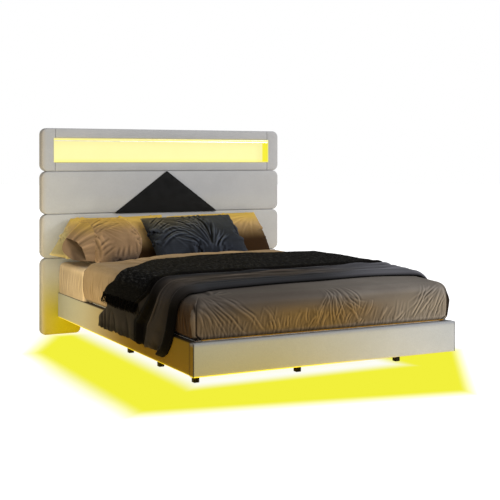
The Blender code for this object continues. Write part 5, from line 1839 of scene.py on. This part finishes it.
def case_mouth(surface):
    """The open end of the front left pillow's case, hanging loose beside the stuffed part."""
    steps, half_ring = 22, 30
    t, s = np.meshgrid(np.linspace(0, 1, steps), np.linspace(0, 1, half_ring), indexing="ij")
    t, s = t[..., None], s[..., None]
    top = (1 - t) * np.array([-0.090, 0.178]) + t * np.array([-0.240, 0.036])
    top = top + 4 * t * (1 - t) * np.array([-0.008, 0.006])
    near_foot = (1 - t) * np.array(MOUTH_FOOT) + t * np.array([-0.160, -0.142])
    far_foot = (1 - t) * np.array(MOUTH_FOOT) + t * np.array([-0.232, -0.138])
    near, far = top + (near_foot - top) * s, top + (far_foot - top) * s
    swell = np.sin(math.pi * s)
    fold = 0.0050 * np.sin(math.tau * (4.3 * s**0.8 + 0.30 * t)) * swell * (0.35 + 0.65 * t)
    fold = fold + 0.0014 * np.sin(math.tau * (9.0 * s + 0.5 * t)) * swell
    stand = 0.004 + (0.052 - 0.016 * t) * swell + fold
    front = np.concatenate([near[..., :1] + 0.012 * t * swell, near[..., 1:], stand], -1)
    back = np.concatenate([far[..., :1] - 0.044 * t**2 * swell, far[..., 1:], 0.004 - 0.008 * swell], -1)
    ring = np.concatenate([front, back[:, ::-1][:, :-1]], 1)
    rows, columns = ring.shape[:2]
    faces = [face[:1] + face[:0:-1] for face in ring_faces(rows, columns)]
    obj = mesh_object("case_mouth", ring.reshape(-1, 3), faces, surface)
    # Painted shade on the inside of the open end
    inward = (np.arange(columns) >= half_ring)[None, :] * np.linspace(0, 1, rows)[:, None]
    hidden = inward * ease(ring[..., 0], -0.246, -0.222) * (0.25 + 0.75 * ease(ring[..., 1], -0.01, -0.07))
    paint_points(obj, "dark", np.clip(hidden * 0.7, 0, 1))
    lean_back(obj, FRONT_LEFT_X, FRONT_LEFT_EDGE, FRONT_RIM, 0.385)
    paint_folds(obj, 6)
    modifier = obj.modifiers.new("smooth", "SUBSURF")
    modifier.levels = modifier.render_levels = 1
    place_on_bed(obj, "front_pillow_cotton")
    # Painted light from the niche on its top
    paint_by_place(obj, gold=lambda x, y, z: ease(z, 0.60, 0.69))


def niche_lit_tops(x, y, z):
    """Painted light from the niche on the pillows' tops."""
    return ease(z, 0.635, 0.715)


def back_pillows(surface):
    creases = fan(81, (-0.30, -0.15), (0.3, 1.5), 9, 0.05, 0.26, 0.5, 0.010, 0.0025)
    creases += [(smoothed(((0.29, 0.15), (0.33, 0.05), (0.36, -0.05), (0.37, -0.14))), 0.008, 0.008)]
    pillow(
        "back_pillow_left",
        surface,
        "back_pillow_cotton",
        corners=((-0.222, 0.178), (0.382, 0.190), (0.382, -0.190), (-0.412, -0.098)),
        bulges=(-0.004, -0.006, -0.010, 0.014),
        depths=(0.028, 0.085),
        place=(-0.43075, BACK_EDGE, BACK_RIM),
        creases=creases,
        seed=82,
        gold=niche_lit_tops,
        shade=lambda x, y, z: ease(z, 0.62, 0.50) * ease(x, -0.45, -0.30),
        # painted light on its left flank
        pale=lambda x, y, z: 0.9 * ease(x, -0.66, -0.74),
    )
    pillow(
        "back_pillow_right",
        surface,
        "back_pillow_cotton",
        corners=((-0.325, 0.172), (0.312, 0.190), (0.300, -0.190), (-0.325, -0.190)),
        bulges=(-0.008, 0.004, 0.012, 0.0),
        depths=(0.028, 0.085),
        place=(0.3057, BACK_EDGE, BACK_RIM),
        creases=fan(83, (0.28, 0.15), (2.2, 4.2), 9, 0.03, 0.28, 0.5, 0.008, 0.003),
        seed=84,
        gold=niche_lit_tops,
        shade=lambda x, y, z: ease(z, 0.69, 0.55),
    )


def front_pillows(tan, slate):
    creases = strokes_of(TAN_DARK_CREASES, TAN_RIDGES, 0.0075, 0.0052)
    creases += fan(85, (-0.12, 0.15), (-1.2, -0.2), 9, 0.03, 0.25, 0.4, 0.006, 0.003)
    pillow(
        "front_pillow_left",
        tan,
        "front_pillow_cotton",
        corners=((-0.126, 0.188), (0.155, 0.192), (0.150, -0.140), (-0.100, -0.164)),
        bulges=(0.012, 0.003, 0.070, 0.012),
        depths=(0.080, 0.022),
        place=(FRONT_LEFT_X, FRONT_LEFT_EDGE, FRONT_RIM),
        creases=creases,
        seed=88,
        slump=0.55,
        gold=niche_lit_tops,
        shade=lambda x, y, z: ease(z, 0.56, 0.47) * ease(x, -0.60, -0.50),
    )
    case_mouth(tan)
    creases = strokes_of(SLATE_DARK_CREASES, SLATE_RIDGES, 0.0060, 0.0075)
    creases += [(smoothed(SLATE_DARK_CREASES[0]), 0.028, -0.016)]
    creases += fan(90, (0.060, -0.10), (0.2, 1.4), 9, 0.03, 0.16, 0.6, 0.005, 0.003)
    creases += fan(91, (-0.27, 0.16), (-1.3, -0.1), 12, 0.02, 0.34, 0.4, 0.006, 0.0035)
    creases += fan(94, (0.055, -0.12), (1.7, 3.0), 9, 0.04, 0.24, -0.5, 0.005, 0.003)
    pillow(
        "front_pillow_right",
        slate,
        "slate_pillow_cotton",
        corners=((-0.320, 0.178), (0.296, 0.192), (0.320, -0.180), (-0.300, -0.175)),
        bulges=(-0.006, 0.000, -0.006, 0.0),
        depths=(0.085, 0.022),
        place=(0.0822, 0.54504, FRONT_RIM),
        creases=creases,
        seed=92,
        slump=0.45,
        # painted light from the niche on its top, more to the left
        gold=lambda x, y, z: ease(z, 0.62, 0.72) * ease(x, 0.25, -0.20),
    )


# ---------------------------------------------------------------- the rest


def repaint():
    """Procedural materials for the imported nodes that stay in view."""
    pine = ((0.42, 0.26, 0.13, 1), (0.62, 0.44, 0.27, 1))
    pine_y = wood("pine_lengthwise", *pine, "Y")
    pine_x = wood("pine_crosswise", *pine, "X")
    ply = wood("plywood_sheet", (0.36, 0.24, 0.13, 1), (0.52, 0.37, 0.23, 1), "X", 12.0)
    upright = wood("pine_upright", *pine, "Z")
    black = moulded("black_moulding", (0.012, 0.012, 0.013, 1), 0.42)
    gloss = moulded("gloss_moulding", (0.012, 0.012, 0.013, 1), 0.22, 0.05)
    foot = moulded("foot_moulding", (0.003, 0.0028, 0.003, 1), 0.6, shine=0.08)
    grey = moulded("grey_button", (0.42, 0.42, 0.43, 1), 0.4)
    metal = moulded("channel_satin", (0.55, 0.55, 0.56, 1), 0.35, 0.1, 1.0)
    dust = fabric("dust_cloth_black", (0.010, 0.010, 0.011, 1), (0.020, 0.020, 0.021, 1), 0.0011, 0.3, 0.05)
    tape = glowing("tape_glow", (1.0, 0.86, 0.08, 1.0), 5.0, (0.6, 0.5, 0.1, 1.0))
    diffuser = glowing("diffuser_glow", (0.60, 0.53, 0.20, 1.0), 0.8, (0.6, 0.5, 0.1, 1.0))
    by_node = {
        "niche_liner": niche_paint(),
        "niche_light_channel": metal,
        "niche_light_diffuser": diffuser,
        "under_bed_light_tape": tape,
        "headboard_dust_cover": dust,
        "headboard_back_board": ply,
        "charging_module": black,
        "rocker_switch": gloss,
        "light_controller": black,
        "light_button": grey,
        "head_cross_rail": pine_x,
        "foot_rail_board": pine_x,
    }
    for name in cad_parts:
        if name.startswith("leg_"):
            by_node[name] = foot
        elif name.startswith("slat_ledge") or name.startswith("bearer") or name.endswith("_board"):
            by_node.setdefault(name, pine_y)
        elif name.startswith("slat_"):
            by_node[name] = pine_x
        elif name.startswith("headboard_post"):
            by_node[name] = upright
    for name, surface in by_node.items():
        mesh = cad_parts[name].data
        mesh.materials.clear()
        mesh.materials.append(surface)


BLOCK_FACES = ((0, 1, 3, 2), (4, 6, 7, 5), (0, 4, 5, 1), (2, 3, 7, 6), (0, 2, 6, 4), (1, 5, 7, 3))


def staples():
    """Staples round the edge of the headboard's dust cover."""
    metal = moulded("staple_steel", (0.45, 0.45, 0.46, 1), 0.35, 0.05, 1.0)
    low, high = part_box("headboard_dust_cover")
    points, faces = [], []

    def staple(x, z, turned):
        wide, tall = (0.0005, 0.005) if turned else (0.005, 0.0005)
        start = len(points)
        for dx in (-wide, wide):
            for dy in (-0.0004, 0.0004):
                for dz in (-tall, tall):
                    points.append((x + dx, high.y + dy, z + dz))
        faces.extend(tuple(start + k for k in face) for face in BLOCK_FACES)

    inset = 0.008
    for x in np.linspace(low.x + 0.03, high.x - 0.03, 26):
        staple(x, low.z + inset, False)
        staple(x, high.z - inset, False)
    for z in np.linspace(low.z + 0.03, high.z - 0.03, 18):
        staple(low.x + inset, z, True)
        staple(high.x - inset, z, True)
    obj = mesh_object("dust_cover_staples", points, faces, metal, smooth=False)
    outward(obj)
    place_on_bed(obj, "channel_metal")


def lights():
    add_world()
    add_lamp("key", "AREA", (3.4, -3.6, 2.3), (0, -0.3, 0.45), 140.0, (1.0, 0.985, 0.965), 1.2)
    add_lamp("front", "SUN", (1.5, -6.0, 3.5), (0, 0, 0.4), 0.50, (1.0, 0.99, 0.97), angle=math.radians(25))
    add_lamp("left_glow", "AREA", (-1.5, 0.25, 0.42), (-0.80, 0.95, 0.42), 8.0, (1.0, 0.90, 0.58), 0.7)
    wash_at = (0, HEAD_FACE - 0.16, 0.99)
    add_lamp("niche_wash", "AREA", wash_at, (0, 0.40, 0.55), 1.7, (1.0, 0.80, 0.16), 1.4, 0.05)


add_camera()
lights()
add_floor()
repaint()

# Pitch, relief and sheen of two weaves
WOVEN = (0.0018, 0.22, 0.02)
FINE = (0.0012, 0.15, 0.03)

warm_grey = fabric(
    "panel_weave",
    (0.372, 0.374, 0.384, 1),
    (0.388, 0.390, 0.400, 1),
    *WOVEN,
    marl=0.05,
    # Painted light: yellow from below low on the left, its brightest patch, and a warm rim at the rows' left
    # ends
    tints=(
        ("lit", (0.37, 0.310, 0.018, 1)),
        ("bright", (0.36, 0.34, 0.004, 1)),
        ("warm", (0.40, 0.33, 0.24, 1)),
    ),
    folds=(0.3, 0.1, 0.002),
)
rail_grey = fabric(
    "rail_weave",
    (0.365, 0.376, 0.378, 1),
    (0.380, 0.390, 0.392, 1),
    *WOVEN,
    marl=0.05,
    # Painted light and shade: yellow from below, its stronger yellow-brown towards the foot, a cool top rim,
    # the lit lowest edge, and shade in the seams
    tints=(
        ("lit", (0.290, 0.235, 0.040, 1)),
        ("ochre", (0.200, 0.118, 0.006, 1)),
        ("blue", (0.215, 0.225, 0.250, 1)),
        ("edge", (0.90, 0.80, 0.04, 1)),
        ("seam", (0.020, 0.010, 0.003, 1)),
    ),
    folds=(0.3, 0.1, 0.002),
)
triangle_leather = leather("triangle_hide", (0.0008, 0.0008, 0.0009, 1))
welt_leather = leather("triangle_welt_hide", (0.003, 0.003, 0.003, 1))
pale_ticking = ((0.62, 0.60, 0.57, 1), (0.70, 0.68, 0.65, 1))
ticking = fabric("mattress_ticking", *pale_ticking, 0.002, 0.2, 0.1, from_uv=True)
tan_sheet = fabric("tan_sheet", (0.365, 0.272, 0.172, 1), (0.410, 0.308, 0.200, 1), *FINE, from_uv=True)
tan_cloth = fabric(
    "tan_cloth",
    (0.225, 0.152, 0.083, 1),
    (0.262, 0.182, 0.104, 1),
    *FINE,
    from_uv=True,
    # Painted shade along its head edge
    tints=(("seam", (0.03, 0.015, 0.006, 1)),),
)
taupe_cloth = fabric(
    "taupe_cloth",
    (0.112, 0.098, 0.086, 1),
    (0.130, 0.115, 0.101, 1),
    *FINE,
    from_uv=True,
    # Painted light and shade: darker to the left, warm light low on the foot face, the pale lower right,
    # amber light on the left side, and shade in seams and gaps
    tints=(
        ("dim", (0.049, 0.039, 0.031, 1)),
        ("warm", (0.135, 0.082, 0.027, 1)),
        ("pale", (0.190, 0.158, 0.120, 1)),
        ("amber", (0.040, 0.018, 0.004, 1)),
        ("seam", (0.006, 0.003, 0.001, 1)),
    ),
    folds=(0.55, 0.60, 0.0014),
)
no_folds = (0.0, 0.0, 0.001)
# The piping's orange is painted yellow light from under the bed
piping = fabric("lit_orange_piping", (0.24, 0.115, 0.010, 1), (0.34, 0.170, 0.015, 1), *FINE, folds=no_folds)
dark_cloth = fabric(
    "dark_cloth",
    (0.035, 0.028, 0.0225, 1),
    (0.043, 0.035, 0.0285, 1),
    0.0012,
    0.15,
    0.0,
    from_uv=True,
    # The cool slate parts, painted highlights, and painted shade between the rolls and where it hangs
    tints=(
        ("slate", (0.018, 0.0185, 0.0205, 1)),
        ("light", (0.072, 0.072, 0.082, 1)),
        ("deep_shade", (0.0008, 0.0005, 0.0003, 1)),
    ),
    folds=(0.80, 0.90, 0.0030),
)
in_shade = (("hang", (0.0012, 0.0008, 0.0005, 1)),)
throw_yarn = knit("throw_yarn", (0.0030, 0.0029, 0.0030, 1), (0.046, 0.044, 0.044, 1), tints=in_shade)
# The throw's yarn, darkened by painted shade where the fringe hangs
fringe_yarn_in_shade = knit("fringe_yarn_in_shade", (0.0003, 0.0002, 0.0001, 1), (0.006, 0.0042, 0.003, 1))
tan_case = fabric(
    "tan_case",
    (0.175, 0.108, 0.058, 1),
    (0.210, 0.133, 0.073, 1),
    *FINE,
    # Painted light from the niche on top, painted shade low down, and painted shade inside the open end
    tints=(
        ("gold", (0.285, 0.185, 0.048, 1)),
        ("shade", (0.050, 0.036, 0.028, 1)),
        ("dark", (0.012, 0.006, 0.003, 1)),
    ),
    folds=(0.55, 0.60, 0.0030),
)
gold_case = fabric(
    "gold_case",
    (0.340, 0.225, 0.105, 1),
    (0.400, 0.270, 0.130, 1),
    *FINE,
    # Painted light from the niche on top, painted shade low down, and painted light on the left pillow's left
    # flank
    tints=(
        ("gold", (0.42, 0.285, 0.060, 1)),
        ("shade", (0.022, 0.009, 0.002, 1)),
        ("pale", (0.36, 0.30, 0.145, 1)),
    ),
    folds=(0.55, 0.40, 0.0028),
)
slate_case = fabric(
    "slate_case",
    (0.0105, 0.0125, 0.0175, 1),
    (0.018, 0.021, 0.028, 1),
    *FINE,
    # Painted light from the niche on its top
    tints=(("gold", (0.042, 0.036, 0.025, 1)),),
    folds=(0.88, 2.1, 0.0024),
)

headboard(warm_grey)
triangle(triangle_leather, welt_leather)
rails(rail_grey)
mattress(ticking)
fitted_sheet(tan_sheet)
tucked_cover(tan_cloth, taupe_cloth, piping)
comforter(dark_cloth)
throw(throw_yarn, fringe_yarn_in_shade)
back_pillows(gold_case)
front_pillows(tan_case, slate_case)
staples()

bpy.context.scene.view_settings.view_transform = "Standard"
